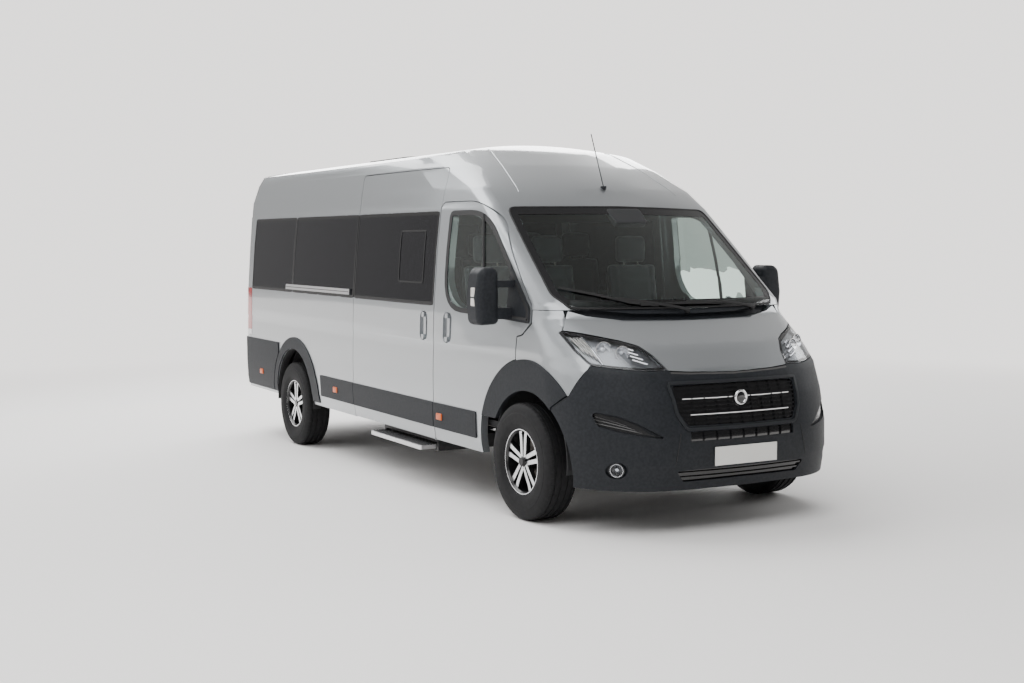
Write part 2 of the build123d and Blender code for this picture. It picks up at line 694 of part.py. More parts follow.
tyre_shape = wheel_tyre()
rim_shape = wheel_rim()
wheels = {                # side, station, half track
    "front_right": (R, front_axle, front_track / 2),
    "front_left": (L, front_axle, front_track / 2),
    "rear_right": (R, rear_axle_station, rear_track / 2),
    "rear_left": (L, rear_axle_station, rear_track / 2),
}
for name, (side, station, half_track) in wheels.items():
    hub = Location((side * half_track, at(station), axle_height))
    with BuildPart() as tyre:
        add(tyre_shape.moved(hub))
    save(tyre, f"tyre_{name}", sprung=False)
    with BuildPart() as rim:
        if side == R:
            add(rim_shape.moved(hub))
        else:
            mirror(rim_shape.moved(Location((-side * half_track, at(station), axle_height))), about=Plane.YZ)
    save(rim, f"rim_{name}", sprung=False)

for word, side in SIDES.items():
    with BuildPart() as knuckle:
        with BuildSketch(Plane.XY.offset(260)):
            with Locations((side * kingpin, at(front_axle))):
                Circle(42)
        extrude(amount=230)
        with BuildSketch(Plane.YZ.offset(side * kingpin)):
            with Locations((at(front_axle), axle_height)):
                Circle(55)
        extrude(amount=side * 30)
        with BuildSketch(Plane.YZ.offset(side * kingpin)):
            with Locations((at(front_axle), axle_height)):
                Circle(26)
        extrude(amount=side * 200)
    save(knuckle, f"knuckle_{word}", sprung=False)

with BuildPart() as front_axle_frame:
    add(block((-330, 330), (860, 1120), (300, 380)))
    for side in (R, L):
        inner_x, outer_x = sorted((side * 320, side * 690))
        add(block((inner_x, outer_x), (910, 985), (262, 290)))
        inner_x, outer_x = sorted((side * 320, side * 380))
        add(block((inner_x, outer_x), (900, 1000), (262, 480)))
        with BuildSketch(Plane.XY.offset(560)):
            with Locations((side * 640, at(front_axle + 10))):
                Circle(50)
        extrude(amount=330)
        inner_x, outer_x = sorted((side * 380, side * 700))
        add(block((inner_x, outer_x), (900, 1020), (860, 890)))
save(front_axle_frame, "front_axle")

with BuildPart() as rear_axle:
    with BuildSketch(Plane.YZ.offset(-770)):
        with Locations((at(rear_axle_station), axle_height)):
            Circle(36)
    extrude(amount=1540)
    for side in (R, L):
        x = side * 560
        add(block((x - 35, x + 35), (4300, 5700), (404, 418)))
        add(block((x - 35, x + 35), (rear_axle_station - 60, rear_axle_station + 60), (380, 404)))
        with BuildSketch(Plane.YZ.offset(side * 770)):
            with Locations((at(rear_axle_station), axle_height)):
                Circle(24)
        extrude(amount=side * 190)
save(rear_axle, "rear_axle", sprung=False)

engine = BuildPart()
with engine:
    add(block((-360, 330), (330, 760), (420, 930)))
save(engine, "engine")

with BuildPart() as fuel_tank:
    add(block((80, 370), (2500, 3400), (330, 445)))
    fillet(fuel_tank.edges().filter_by(Axis.Y), 30)
save(fuel_tank, "fuel_tank")

with BuildPart() as exhaust:
    with BuildSketch(Plane.XZ.offset(-at(1200))):
        with Locations((-180, 380)):
            Circle(30)
    extrude(amount=-2600)
    with BuildSketch(Plane.XZ.offset(-at(2600))):
        with Locations((-180, 370)):
            Ellipse(110, 62)
    extrude(amount=-600)
save(exhaust, "exhaust")

# ---- cabin --------------------------------------------------------------------------------
def seat(x, station, base, width=470):
    """One seat facing forward: cushion, back and headrest, its front edge at a station."""
    with BuildPart() as made:
        with BuildSketch(Plane.YZ.offset(x - width / 2)):
            with BuildLine():
                Polyline((at(station), base), (at(station + 430), base), (at(station + 540), base + 720),
                         (at(station + 450), base + 720), (at(station + 360), base + 140),
                         (at(station), base + 150), (at(station), base))
            make_face()
        extrude(amount=width)
        with BuildSketch(Plane.YZ.offset(x - 130)):
            with Locations((at(station + 505), base + 810)):
                RectangleRounded(90, 210, 30)
        extrude(amount=260)
    return made.part


cab_seat_base = 860
with BuildPart() as front_seats:
    for x, width in ((480, 520), (-230, 460), (-690, 440)):
        add(seat(x, 1420, cab_seat_base, width))
save(front_seats, "front_seats")

rows = {2500: (-690, 230, 690), 3250: (-690, 230, 690), 4000: (-690, 230, 690),
        5560: (-690, -230, 230, 690)}      # station of a row: its seats' x
row_seat_base = floor_top + 330
with BuildPart() as passenger_seats:
    for row in rows:
        for x in rows[row]:
            add(seat(x, row, row_seat_base, 430))
save(passenger_seats, "passenger_seats")

with BuildPart() as seat_frames:
    for row in rows:
        for x in rows[row]:
            add(block((x - 150, x + 150), (row + 60, row + 380), (floor_top, row_seat_base)))
    for x, half in ((480, 200), (-460, 380)):
        add(block((x - half, x + half), (1480, 1840), (floor_top, cab_seat_base)))
save(seat_frames, "seat_frames")

with BuildPart() as dashboard:
    with BuildSketch(Plane.YZ.offset(-840)):
        with BuildLine():
            Polyline((at(1080), 850), (at(1250), 850), (at(1290), 980), (at(1240), 1180), (at(1120), 1270),
                     (at(860), 1255), (at(820), 1190), (at(1080), 1150), (at(1080), 850))
        make_face()
    extrude(amount=1680)
save(dashboard, "dashboard")

with BuildPart() as steering_wheel:
    column = Plane(origin=(450, at(1330), 1190), z_dir=(0, 0.62, 0.78))
    with BuildSketch(column):
        Circle(195)
        Circle(170, mode=Mode.SUBTRACT)
        Circle(55)
        Rectangle(380, 34)
        with Locations((0, -95)):
            Rectangle(40, 170)
    extrude(amount=24)
    with BuildSketch(column):
        Circle(26)
    extrude(amount=-150)
    add(dashboard.part, mode=Mode.SUBTRACT)
save(steering_wheel, "steering_wheel")

# ---- entry step, roof fittings, plate -------------------------------------------------------
step_edge, step_start, step_length = -1058, 2268, 869
step_play = 6
with BuildPart() as side_step:
    add(block((step_edge, step_edge + 395), (step_start, step_start + step_length), (262, 292)))
    fillet(side_step.edges().filter_by(Axis.Z).group_by(Axis.X)[0], 12)
save(side_step, "side_step")

# cassette of the step, two channels that carry its ends
channel, channel_inner = 24, -430
with BuildPart() as step_housing:
    front_end, rear_end = step_start - step_play, step_start + step_length + step_play
    add(block((-930, channel_inner), (front_end - channel, rear_end + channel), (305, 345)))
    for s_from, lip_from in ((front_end - channel, front_end - channel), (rear_end, rear_end - 30)):
        add(block((-930, channel_inner), (s_from, s_from + channel), (246, 305)))
        add(block((-930, channel_inner), (lip_from, lip_from + channel + 30), (246, 256)))
    for station, bracket_top in ((2300, 450), (3050, floor_top - floor_depth)):
        add(block((-860, -700), (station - 20, station + 20), (345, bracket_top)))
save(step_housing, "step_housing")

with BuildPart() as roof_fittings:
    add(cut_piece(envelope(-18), outer, block((-300, 300), (4090, 4870), (2300, 2500))).part)
    with BuildSketch(Plane.XY.offset(2090)):
        with Locations((0, at(1556))):
            Ellipse(18, 26)
    extrude(amount=16)
    foot = Vector(0, at(1556), 2100)
    tip = Vector(0, at(1717), 2472)
    with BuildSketch(Plane(origin=foot, z_dir=(tip - foot))):
        Circle(3.5)
    extrude(amount=(tip - foot).length)
    add(outer, mode=Mode.SUBTRACT)
save(roof_fittings, "roof_fittings")

with BuildPart() as number_plate:
    add(block((-232, 232), (-2, 4), (417, 527)))
    add(outer, mode=Mode.SUBTRACT)
save(number_plate, "number_plate")
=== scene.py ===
import json
import math

import bpy
from mathutils import Matrix, Vector
from mathutils.bvhtree import BVHTree

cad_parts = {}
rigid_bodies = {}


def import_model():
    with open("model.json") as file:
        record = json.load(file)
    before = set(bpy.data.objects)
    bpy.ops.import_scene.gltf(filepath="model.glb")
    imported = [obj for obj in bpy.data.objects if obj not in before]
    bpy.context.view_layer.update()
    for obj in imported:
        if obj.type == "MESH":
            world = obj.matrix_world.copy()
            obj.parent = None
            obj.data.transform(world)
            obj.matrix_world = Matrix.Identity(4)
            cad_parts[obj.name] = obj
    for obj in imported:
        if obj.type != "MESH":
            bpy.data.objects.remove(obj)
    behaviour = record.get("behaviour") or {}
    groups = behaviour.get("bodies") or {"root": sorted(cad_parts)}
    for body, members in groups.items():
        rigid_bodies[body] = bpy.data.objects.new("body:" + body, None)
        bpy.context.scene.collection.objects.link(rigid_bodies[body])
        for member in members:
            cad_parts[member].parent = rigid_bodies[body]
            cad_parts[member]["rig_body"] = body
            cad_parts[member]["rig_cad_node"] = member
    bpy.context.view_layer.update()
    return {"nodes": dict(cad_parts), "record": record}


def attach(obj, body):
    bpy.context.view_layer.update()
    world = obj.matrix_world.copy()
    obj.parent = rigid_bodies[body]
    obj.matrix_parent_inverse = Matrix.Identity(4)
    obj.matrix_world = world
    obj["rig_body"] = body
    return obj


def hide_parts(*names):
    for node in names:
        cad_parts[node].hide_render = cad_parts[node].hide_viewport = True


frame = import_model()

# ---- places, in metres, from the frame
BODIES = frame["record"]["behaviour"]["bodies"]
BODY_OF = {node: body for body, nodes in BODIES.items() for node in nodes}
LENGTH = 6.363      # of the level body; stations are measured from the front bumper's tip
AXLE_Y = 0.948 - LENGTH / 2
AXLE_Z = 0.365
STANCE = math.radians(0.95)      # the unladen body's lean about the front axle, nose down


def stance(x, station, height):
    """Point in the frame's own axes of a place on the level body, turned with the sprung body."""
    along, up = station - LENGTH / 2 - AXLE_Y, height - AXLE_Z
    return Vector((x, AXLE_Y + along * math.cos(STANCE) - up * math.sin(STANCE),
                   AXLE_Z + along * math.sin(STANCE) + up * math.cos(STANCE)))


# ---- materials
def shader(name, colour, roughness, metallic=0.0, **sockets):
    """Principled material with constant values on its own sockets."""
    material = bpy.data.materials.new(name)
    material.use_nodes = True
    surface = material.node_tree.nodes["Principled BSDF"]
    surface.inputs["Base Color"].default_value = (*colour, 1)
    surface.inputs["Roughness"].default_value = roughness
    surface.inputs["Metallic"].default_value = metallic
    for socket, value in sockets.items():
        surface.inputs[socket.replace("_", " ")].default_value = value
    return material


def add(tree, kind, **values):
    """New shader node with constant values on its sockets."""
    node = tree.nodes.new(f"ShaderNode{kind}")
    for socket, value in values.items():
        node.inputs[socket.replace("_", " ")].default_value = value
    return node


def link(tree, *rows):
    """Links, each given as node, output, node, input."""
    for source, output, target, into in rows:
        tree.links.new(source.outputs[output], target.inputs[into])


def speckle(material, scale, low, high, detail=3.0):
    """Colour that wavers between two shades with fine noise."""
    tree = material.node_tree
    place, noise = add(tree, "TexCoord"), add(tree, "TexNoise", Scale=scale, Detail=detail)
    ramp = add(tree, "ValToRGB")
    for stop, position, colour in zip(ramp.color_ramp.elements, (0.35, 0.65), (low, high)):
        stop.position, stop.color = position, (*colour, 1)
    link(tree, (place, "Object", noise, "Vector"), (noise, "Fac", ramp, "Fac"),
         (ramp, "Color", tree.nodes["Principled BSDF"], "Base Color"))
    return material


NOISE, CELLS = ("TexNoise", "Fac"), ("TexVoronoi", "Distance")      # kinds of node and their output


def grain(material, scale, strength, distance=0.0005, kind=NOISE):
    """Fine bump over the whole surface."""
    tree = material.node_tree
    place, pattern = add(tree, "TexCoord"), add(tree, kind[0], Scale=scale)
    bump = add(tree, "Bump", Strength=strength, Distance=distance)
    link(tree, (place, "Object", pattern, "Vector"), (pattern, kind[1], bump, "Height"),
         (bump, "Normal", tree.nodes["Principled BSDF"], "Normal"))
    return material


def silver_paint():
    paint = shader("silver_paint", (0.37, 0.39, 0.407), 0.34, 0.75, Coat_Weight=1.0, Coat_Roughness=0.04)
    speckle(paint, 900, (0.345, 0.365, 0.382), (0.395, 0.415, 0.432), 2)
    return grain(paint, 1400, 0.03, 0.0002)


def dark_plastic():
    plastic = shader("dark_plastic", (0.015, 0.017, 0.020), 0.52, Specular_IOR_Level=0.22)
    speckle(plastic, 60, (0.012, 0.014, 0.017), (0.018, 0.020, 0.024))
    return grain(plastic, 1600, 0.25, 0.0004, CELLS)


def tyre_rubber():
    rubber = shader("tyre_rubber", (0.007, 0.007, 0.008), 0.72, Specular_IOR_Level=0.3)
    speckle(rubber, 40, (0.005, 0.005, 0.006), (0.009, 0.009, 0.010))
    return grain(rubber, 700, 0.2, 0.0004)


def seat_cloth():
    cloth = shader("seat_cloth", (0.03, 0.032, 0.038), 0.9, Sheen_Weight=0.3)
    speckle(cloth, 300, (0.024, 0.026, 0.031), (0.042, 0.045, 0.052))
    return grain(cloth, 900, 0.5, 0.0006, CELLS)


FINISH = {
    "paint": silver_paint(),
    "dark_plastic": dark_plastic(),
    "black_gloss": grain(shader("black_gloss", (0.006, 0.006, 0.007), 0.12, Coat_Weight=0.6), 200, 0.03),
    "tinted_glass": grain(shader("tinted_glass", (0.008, 0.008, 0.010), 0.05, Specular_IOR_Level=0.30), 3,
                          0.02, 0.002),
    "clear_glass": shader("clear_glass", (0.80, 0.90, 0.86), 0.0, Transmission_Weight=1.0, IOR=1.45),
    "lamp_lens": shader("lamp_lens", (0.95, 0.97, 1.0), 0.02, Transmission_Weight=1.0, IOR=1.3),
    "red_lens": grain(shader("red_lens", (0.35, 0.006, 0.008), 0.08, Coat_Weight=0.8), 260, 0.1),
    "clear_lens": grain(shader("clear_lens", (0.55, 0.55, 0.56), 0.10, 0.2, Coat_Weight=0.8), 260, 0.1),
    "tyre": tyre_rubber(),
    "alloy": grain(shader("machined_alloy", (0.75, 0.76, 0.78), 0.22, 1.0), 500, 0.05),
    "steel": grain(speckle(shader("chassis_black", (0.02, 0.02, 0.022), 0.55), 30, (0.015, 0.015, 0.017),
                           (0.03, 0.03, 0.032)), 300, 0.3),
    "engine_metal": grain(speckle(shader("cast_metal", (0.12, 0.12, 0.13), 0.5, 0.8), 25, (0.09, 0.09, 0.1),
                                  (0.16, 0.16, 0.17)), 150, 0.5),
    "exhaust_steel": speckle(shader("exhaust_steel", (0.3, 0.28, 0.26), 0.45, 1.0), 20, (0.24, 0.22, 0.2),
                             (0.36, 0.34, 0.32)),
    "floor_cover": grain(shader("floor_cover", (0.04, 0.04, 0.043), 0.7), 400, 0.4, 0.0006, CELLS),
    "seat_fabric": seat_cloth(),
    "cabin_plastic": grain(shader("cabin_plastic", (0.02, 0.021, 0.023), 0.6), 1200, 0.3, 0.0004, CELLS),
    "step_aluminium": grain(shader("step_aluminium", (0.7, 0.7, 0.71), 0.3, 1.0), 600, 0.08),
    "plate_white": grain(shader("plate_white", (0.75, 0.75, 0.72), 0.35), 800, 0.03),
    # worn by pieces made below, within the slots above
    "chrome": grain(shader("bright_trim", (0.8, 0.8, 0.81), 0.08, 1.0), 300, 0.02),
    "rubber": grain(shader("seal_rubber", (0.008, 0.008, 0.009), 0.6), 900, 0.15),
    "amber": grain(shader("amber_lens", (0.62, 0.10, 0.002), 0.3, Coat_Weight=0.1), 240, 0.15),
    # black of the wheels' pockets and hub caps, and painted shade: the strip under the bonnet's edge and the
    # sheets over the vents
    "black_and_painted_shade": grain(shader("black_and_painted_shade", (0.008, 0.008, 0.009), 0.3, Coat_Weight=0.3), 300, 0.05),
    "satin_black": grain(shader("satin_black", (0.022, 0.024, 0.027), 0.3, Coat_Weight=0.2), 900, 0.1),
    "lamp_case": grain(shader("lamp_case", (0.26, 0.265, 0.27), 0.28, 0.7), 60, 0.05),
    "frit": grain(shader("glass_border", (0.006, 0.006, 0.007), 0.25), 500, 0.05),
    "mirror_glass": grain(shader("mirror_glass", (0.75, 0.77, 0.78), 0.02, 1.0), 3, 0.01, 0.001),
    "bulb_glass": grain(shader("bulb_glass", (0.85, 0.87, 0.9), 0.05, 0.3, Coat_Weight=1.0), 150, 0.1),
    "clear_indicator": grain(shader("clear_indicator", (0.62, 0.6, 0.56), 0.12, Coat_Weight=0.8), 300, 0.25),
}
SLOT_OF = {row["node"]: row["material_slot"] for row in frame["record"]["subparts"]}


# ---- work on meshes
def pick(*pieces):
    """Leave edit mode and select only these pieces."""
    if bpy.context.object and bpy.context.object.mode != "OBJECT":
        bpy.ops.object.mode_set(mode="OBJECT")
    bpy.ops.object.select_all(action="DESELECT")
    for piece in pieces:
        piece.select_set(True)
    bpy.context.view_layer.objects.active = pieces[0]


def edit(piece, chosen=None, mode="FACE"):
    """Enter edit mode with only the elements selected that a test of their place and normal chooses."""
    pick(piece)
    bpy.ops.object.mode_set(mode="EDIT")
    bpy.ops.mesh.select_mode(type=mode)
    bpy.ops.mesh.select_all(action="SELECT" if chosen is None else "DESELECT")
    if chosen is not None:
        bpy.ops.object.mode_set(mode="OBJECT")
        for face in piece.data.polygons:
            face.select = chosen(face.center, face.normal)
        bpy.ops.object.mode_set(mode="EDIT")


def edit_last(piece, count):
    """Enter edit mode with only a mesh's last vertices selected."""
    edit(piece, mode="VERT")
    bpy.ops.mesh.select_all(action="DESELECT")
    bpy.ops.object.mode_set(mode="OBJECT")
    for vertex in piece.data.vertices[-count:]:
        vertex.select = True
    bpy.ops.object.mode_set(mode="EDIT")


def modify(piece, kind, **settings):
    """Apply one modifier at once."""
    pick(piece)
    modifier = piece.modifiers.new(kind.lower(), kind)
    for setting, value in settings.items():
        setattr(modifier, setting, value)
    bpy.ops.object.modifier_apply(modifier=modifier.name)
    return piece


def smooth(piece, crease=35):
    """Shade a piece smooth, but for the edges sharper than an angle in degrees."""
    pick(piece)
    bpy.ops.object.shade_smooth_by_angle(angle=math.radians(crease))
    return piece


def join(*pieces):
    """Make the first piece of all the pieces."""
    pick(*pieces)
    if len(pieces) > 1:
        bpy.ops.object.join()
    return bpy.context.object


def settle(piece):
    """Put a piece's place and turn into its mesh."""
    pick(piece)
    bpy.ops.object.transform_apply(location=True, rotation=True, scale=True)
    return piece


def wear(piece, *finishes):
    """Give a piece its materials."""
    piece.data.materials.clear()
    for finish in finishes:
        piece.data.materials.append(FINISH[finish])


def finish_piece(piece, name, slot, body="body", look=None):
    """Move a piece from stations to the frame's own axes, name it, and let it ride on its body."""
    settle(piece)
    move = Matrix.Translation((0, -LENGTH / 2, 0))
    if not body.startswith("wheel_"):      # the wheels stand level, the sprung body leans
        hub = Matrix.Translation((0, AXLE_Y, AXLE_Z))
        move = hub @ Matrix.Rotation(STANCE, 4, "X") @ hub.inverted() @ move
    piece.matrix_world = move
    settle(piece)
    piece.name = name
    if not len(piece.data.materials):
        wear(piece, look or slot)
    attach(piece, body)
    return piece


def pair(piece, name, slot, body="body", look=None):
    """Finish a piece made for the right side and put its mirror image, with its own mesh, on the left."""
    finish_piece(piece, f"{name}_right", slot, body, look=look)
    pick(piece)
    bpy.ops.object.duplicate()
    twin = bpy.context.object
    twin.matrix_world = Matrix.Scale(-1, 4, (1, 0, 0)) @ twin.matrix_world
    edit(settle(twin))
    bpy.ops.mesh.normals_make_consistent(inside=False)
    pick(twin)
    twin.name = f"{name}_left"
    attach(twin, body.replace("right", "left"))


def merged_copy(node, name, crease=32):
    """Welded, smooth-shaded copy of a CAD node, which stands for it from now on."""
    piece = frame["nodes"][node].copy()
    piece.data = piece.data.copy()
    piece.name = name
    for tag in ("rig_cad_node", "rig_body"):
        if tag in piece:
            del piece[tag]
    piece.parent = None
    bpy.context.scene.collection.objects.link(piece)
    edit(piece)
    bpy.ops.mesh.customdata_custom_splitnormals_clear()
    bpy.ops.mesh.remove_doubles(threshold=0.00002)
    smooth(piece, crease)
    wear(piece, SLOT_OF[node])
    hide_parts(node)
    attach(piece, BODY_OF[node])
    return piece


def paint_faces(piece, index, chosen):
    """Give one of a piece's materials to the faces that a test of their place and normal chooses."""
    edit(piece, chosen)
    piece.active_material_index = index
    bpy.ops.object.material_slot_assign()
    bpy.ops.object.mode_set(mode="OBJECT")


def rounded(piece, width, segments=3):
    """Round a piece's edges."""
    return modify(piece, "BEVEL", width=width, segments=segments, limit_method="ANGLE")


def cube(low, high, bevel, segments=3):
    """Block between two corners, its edges rounded."""
    middle = [(a + b) / 2 for a, b in zip(low, high)]
    bpy.ops.mesh.primitive_cube_add(size=1, location=middle, scale=[b - a for a, b in zip(low, high)])
    return rounded(settle(bpy.context.object), bevel, segments)


def disc(centre, axis, radius, depth, bevel, vertices, segments=3):
    """Short cylinder about an axis, its rims rounded."""
    bpy.ops.mesh.primitive_cylinder_add(radius=radius, depth=depth, vertices=vertices)
    piece = bpy.context.object
    piece.matrix_world = (Matrix.Translation(centre)
                          @ Vector(axis).to_track_quat("Z", "Y").to_matrix().to_4x4())
    return rounded(settle(piece), bevel, segments)


def curve(name, points, closed):
    """Curve object of one straight-sided line."""
    line = bpy.data.curves.new(name, "CURVE")
    line.dimensions = "3D"
    spline = line.splines.new("POLY")
    spline.points.add(len(points) - 1)
    for spot, point in zip(spline.points, points):
        spot.co = (*point, 1)
    spline.use_cyclic_u = closed
    piece = bpy.data.objects.new(name, line)
    bpy.context.scene.collection.objects.link(piece)
    return piece, line


def bead(points, radius, closed=False):
    """Round strand along points; with no radius, their bare line."""
    piece, line = curve("strand", points, closed)
    line.bevel_depth = radius
    line.bevel_resolution = 3
    line.use_fill_caps = not closed
    pick(piece)
    bpy.ops.object.convert(target="MESH")
    return bpy.context.object


def slat(points, tall, deep, bevel=0.0015):
    """Flat bar along points, upright in its section."""
    a, b = deep / 2, tall / 2
    corners = [(-a + bevel, -b), (a - bevel, -b), (a, -b + bevel), (a, b - bevel), (a - bevel, b),
               (-a + bevel, b), (-a, b - bevel), (-a, -b + bevel)]
    section, shape = curve("section", [(*corner, 0) for corner in corners], True)
    shape.dimensions = "2D"
    piece, line = curve("slat", points, False)
    line.twist_mode = "Z_UP"
    line.bevel_mode = "OBJECT"
    line.bevel_object = section
    line.use_fill_caps = True
    pick(piece)
    bpy.ops.object.convert(target="MESH")
    piece = bpy.context.object
    bpy.data.objects.remove(section)
    edit(piece)
    bpy.ops.mesh.remove_doubles(threshold=0.00001)
    bpy.ops.mesh.normals_make_consistent(inside=False)
    return smooth(piece, 40)


def spun(points, parts):
    """Closed body of revolution about the X axis from a half profile, its points (x, radius)."""
    piece = bead([(x, 0, r) for x, r in points], 0)
    edit(piece)
    bpy.ops.mesh.spin(steps=parts, angle=math.tau, center=(0, 0, 0), axis=(1, 0, 0))
    bpy.ops.mesh.remove_doubles(threshold=0.00005)
    bpy.ops.mesh.normals_make_consistent(inside=False)
    return piece


def facing(piece, centre, heading, crease=50):
    """Smooth a piece made about the X axis, turn its +X side to a heading and move it to a centre."""
    smooth(piece, crease)
    piece.matrix_world = (Matrix.Translation(centre)
                          @ Vector(heading).to_track_quat("X", "Z").to_matrix().to_4x4())
    return settle(piece)


# ---- body surface
class Skin:
    """Outer surface of some CAD nodes, asked for in stations and heights of the level body."""

    def __init__(self, *nodes):
        self.trees = []
        for node in nodes:
            mesh = frame["nodes"][node].data
            self.trees.append(BVHTree.FromPolygons([v.co for v in mesh.vertices],
                                                   [tuple(p.vertices) for p in mesh.polygons]))

    def cast(self, start, towards):
        """Distance to the surface; over a gap, to what lies a few millimetres beside it."""
        for reach in (0.0, 0.004, 0.008, 0.014):
            for a, b in ((0, 1), (0, -1), (1, 0), (-1, 0), (1, 1), (-1, -1), (1, -1), (-1, 1)):
                beside = (b, a, 0) if towards[2] else (0, a, b) if towards[0] else (a, 0, b)
                begin = [spot + reach * shift for spot, shift in zip(start, beside)]
                first = stance(*begin)
                heading = (stance(*(spot + step for spot, step in zip(begin, towards))) - first).normalized()
                hits = [tree.ray_cast(first, heading, 4.0) for tree in self.trees]
                hits = [hit[3] for hit in hits if hit[0] is not None]
                if hits:
                    return min(hits)
                if not reach:
                    break
        raise ValueError(f"no skin from {tuple(start)}")

    def side(self, station, height, proud=0.0):
        """Point on the right flank, standing proud by an amount."""
        start = 1.045      # outside the cladding, inside the mirrors
        return Vector((self.cast((-start, station, height), (1, 0, 0)) - start - proud, station, height))

    def front(self, x, height, proud=0.0):
        """Point on the nose."""
        return Vector((x, -1.0 + self.cast((x, -1.0, height), (0, 1, 0)) - proud, height))

    def rear(self, x, height, proud=0.0):
        """Point on the tail."""
        return Vector((x, 7.5 - self.cast((x, 7.5, height), (0, -1, 0)) + proud, height))

    def top(self, x, station):
        """Point on the roof."""
        return Vector((x, station, 3.5 - self.cast((x, station, 3.5), (0, 0, -1))))


def outward(lay, a, b, step=0.012):
    """Direction in which a surface faces at one of its points."""
    across, upward = lay(a + step, b) - lay(a - step, b), lay(a, b + step) - lay(a, b - step)
    return across.cross(upward).normalized()


# ---- flat outlines and what is laid on the surface along them
def steps(first, last, count):
    """Numbers from first to last, evenly spaced."""
    return [first + (last - first) * k / count for k in range(count + 1)]


def span(first, last, count):
    """Flat points from first to last, evenly spaced."""
    return list(zip(steps(first[0], last[0], count), steps(first[1], last[1], count)))


def rect(s_from, s_to, z_from, z_to):
    """Corners of an upright rectangle."""
    return [(s_from, z_from), (s_to, z_from), (s_to, z_to), (s_from, z_to)]


def between(corners, step, radius=0.0):
    """Points along a closed flat outline at most a step apart, its corners rounded."""
    spots = []
    for index, corner in enumerate(corners):
        bend = corner[2] if len(corner) > 2 else radius
        corner = Vector(corner[:2])
        if bend <= 0:
            spots.append(corner)
            continue
        before, after = Vector(corners[index - 1][:2]), Vector(corners[(index + 1) % len(corners)][:2])
        into, out = (before - corner).normalized(), (after - corner).normalized()
        angle = max(into.angle(out), 0.05)
        run = min(bend / math.tan(angle / 2), (before - corner).length / 2.02,
                  (after - corner).length / 2.02)
        for stage in range(7):
            t = stage / 6
            spots.append((1 - t) ** 2 * (corner + into * run) + 2 * t * (1 - t) * corner
                         + t ** 2 * (corner + out * run))
    line = []
    for first, second in zip(spots, spots[1:] + spots[:1]):
        parts = max(1, math.ceil((second - first).length / step))
        line += [first.lerp(second, k / parts) for k in range(parts)]
    return line


def resample(line, count):
    """Closed outline with a given number of evenly spaced points."""
    line = list(line) + [line[0]]
    lengths = [0.0]
    for first, second in zip(line, line[1:]):
        lengths.append(lengths[-1] + (second - first).length)
    spots, place = [], 0
    for k in range(count):
        want = lengths[-1] * k / count
        while lengths[place + 1] < want:
            place += 1
        share = (want - lengths[place]) / max(lengths[place + 1] - lengths[place], 1e-9)
        spots.append(line[place].lerp(line[place + 1], share))
    return spots


def inset(line, amount):
    """Closed outline brought inwards by an amount."""
    count = len(line)
    turn = sum(a.x * b.y - b.x * a.y for a, b in zip(line, line[1:] + line[:1]))
    hand = 1 if turn > 0 else -1
    moved = []
    for index, spot in enumerate(line):
        along = (line[(index + 1) % count] - line[index - 1]).normalized()
        moved.append(spot + Vector((-along.y, along.x)) * amount * hand)
    return moved


def laid(lay, line, proud=0.0):
    """Points of a flat line on a surface, standing proud of it by an amount."""
    return [lay(*spot, proud) for spot in line]


def wall(ring_out, ring_in, thickness, offset=0):
    """Sheet between two closed rings of as many points in space."""
    piece = join(bead(ring_out, 0, True), bead(ring_in, 0, True))
    edit(piece)
    bpy.ops.mesh.bridge_edge_loops()
    bpy.ops.mesh.normals_make_consistent(inside=False)
    return modify(piece, "SOLIDIFY", thickness=thickness, offset=offset)


def band(outer_line, inner_line, lay, proud, thickness):
    """Frame between two closed flat outlines of as many points, laid on a surface."""
    return wall(laid(lay, outer_line, proud), laid(lay, inner_line, proud), thickness)


def patch(line, lay, proud, thickness, rings=4):
    """Filled plate inside a closed outline, laid on a surface in rings so that it follows it."""
    middle, count = sum(line, Vector((0, 0))) / len(line), len(line)
    piece = None
    for ring in range(rings + 1):
        share = 1 - ring / rings if ring < rings else 0.01
        loop = bead(laid(lay, [middle.lerp(spot, share) for spot in line], proud), 0, True)
        if piece is None:
            piece = loop
            continue
        piece = join(piece, loop)
        edit_last(piece, 2 * count)
        bpy.ops.mesh.bridge_edge_loops()
    edit_last(piece, count)
    bpy.ops.mesh.merge(type="CENTER")
    bpy.ops.mesh.select_all(action="SELECT")
    bpy.ops.mesh.normals_make_consistent(inside=False)
    return modify(piece, "SOLIDIFY", thickness=thickness, offset=0)


# ---- panels
for node, cad in frame["nodes"].items():
    wear(cad, SLOT_OF[node])

PANELS = ("side_right", "side_left", "roof", "windscreen", "cowl", "front_wings", "bonnet", "front_bumper",
          "front_door_right", "front_door_left", "front_door_glass_right", "front_door_glass_left",
          "sliding_door", "sliding_door_glass", "side_glass", "rear_door_right", "rear_door_left",
          "rear_door_glass_right", "rear_door_glass_left", "rear_bumper", "side_cladding", "front_flares",
          "mirror_right", "mirror_left", "grille")
for node in PANELS:
    merged_copy(node, f"{node}_panel")
SIDES = (("right", -1), ("left", 1))

# ---- wheels
WHEELS = {"front_right": (-0.905, 0.948), "front_left": (0.905, 0.948), "rear_right": (-0.895, 4.983),
          "rear_left": (0.895, 4.983)}      # x and station of each wheel's middle
TYRE_PARTS = 120
TYRE_PROFILE = [(0.0945, 0.204), (0.105, 0.222), (0.1085, 0.236), (0.1105, 0.240), (0.1120, 0.262),
                (0.1125, 0.286), (0.1118, 0.302), (0.1098, 0.305), (0.1098, 0.311), (0.1080, 0.325),
                (0.1005, 0.346), (0.0905, 0.3570), (0.0725, 0.3637), (0.0700, 0.3637), (0.0680, 0.3580),
                (0.0600, 0.3580), (0.0580, 0.3644), (0.0300, 0.3648), (0.0280, 0.3585), (0.0180, 0.3585),
                (0.0160, 0.3649), (0.0, 0.3649)]
BOLTS, BOLT_CIRCLE = 5, 0.048


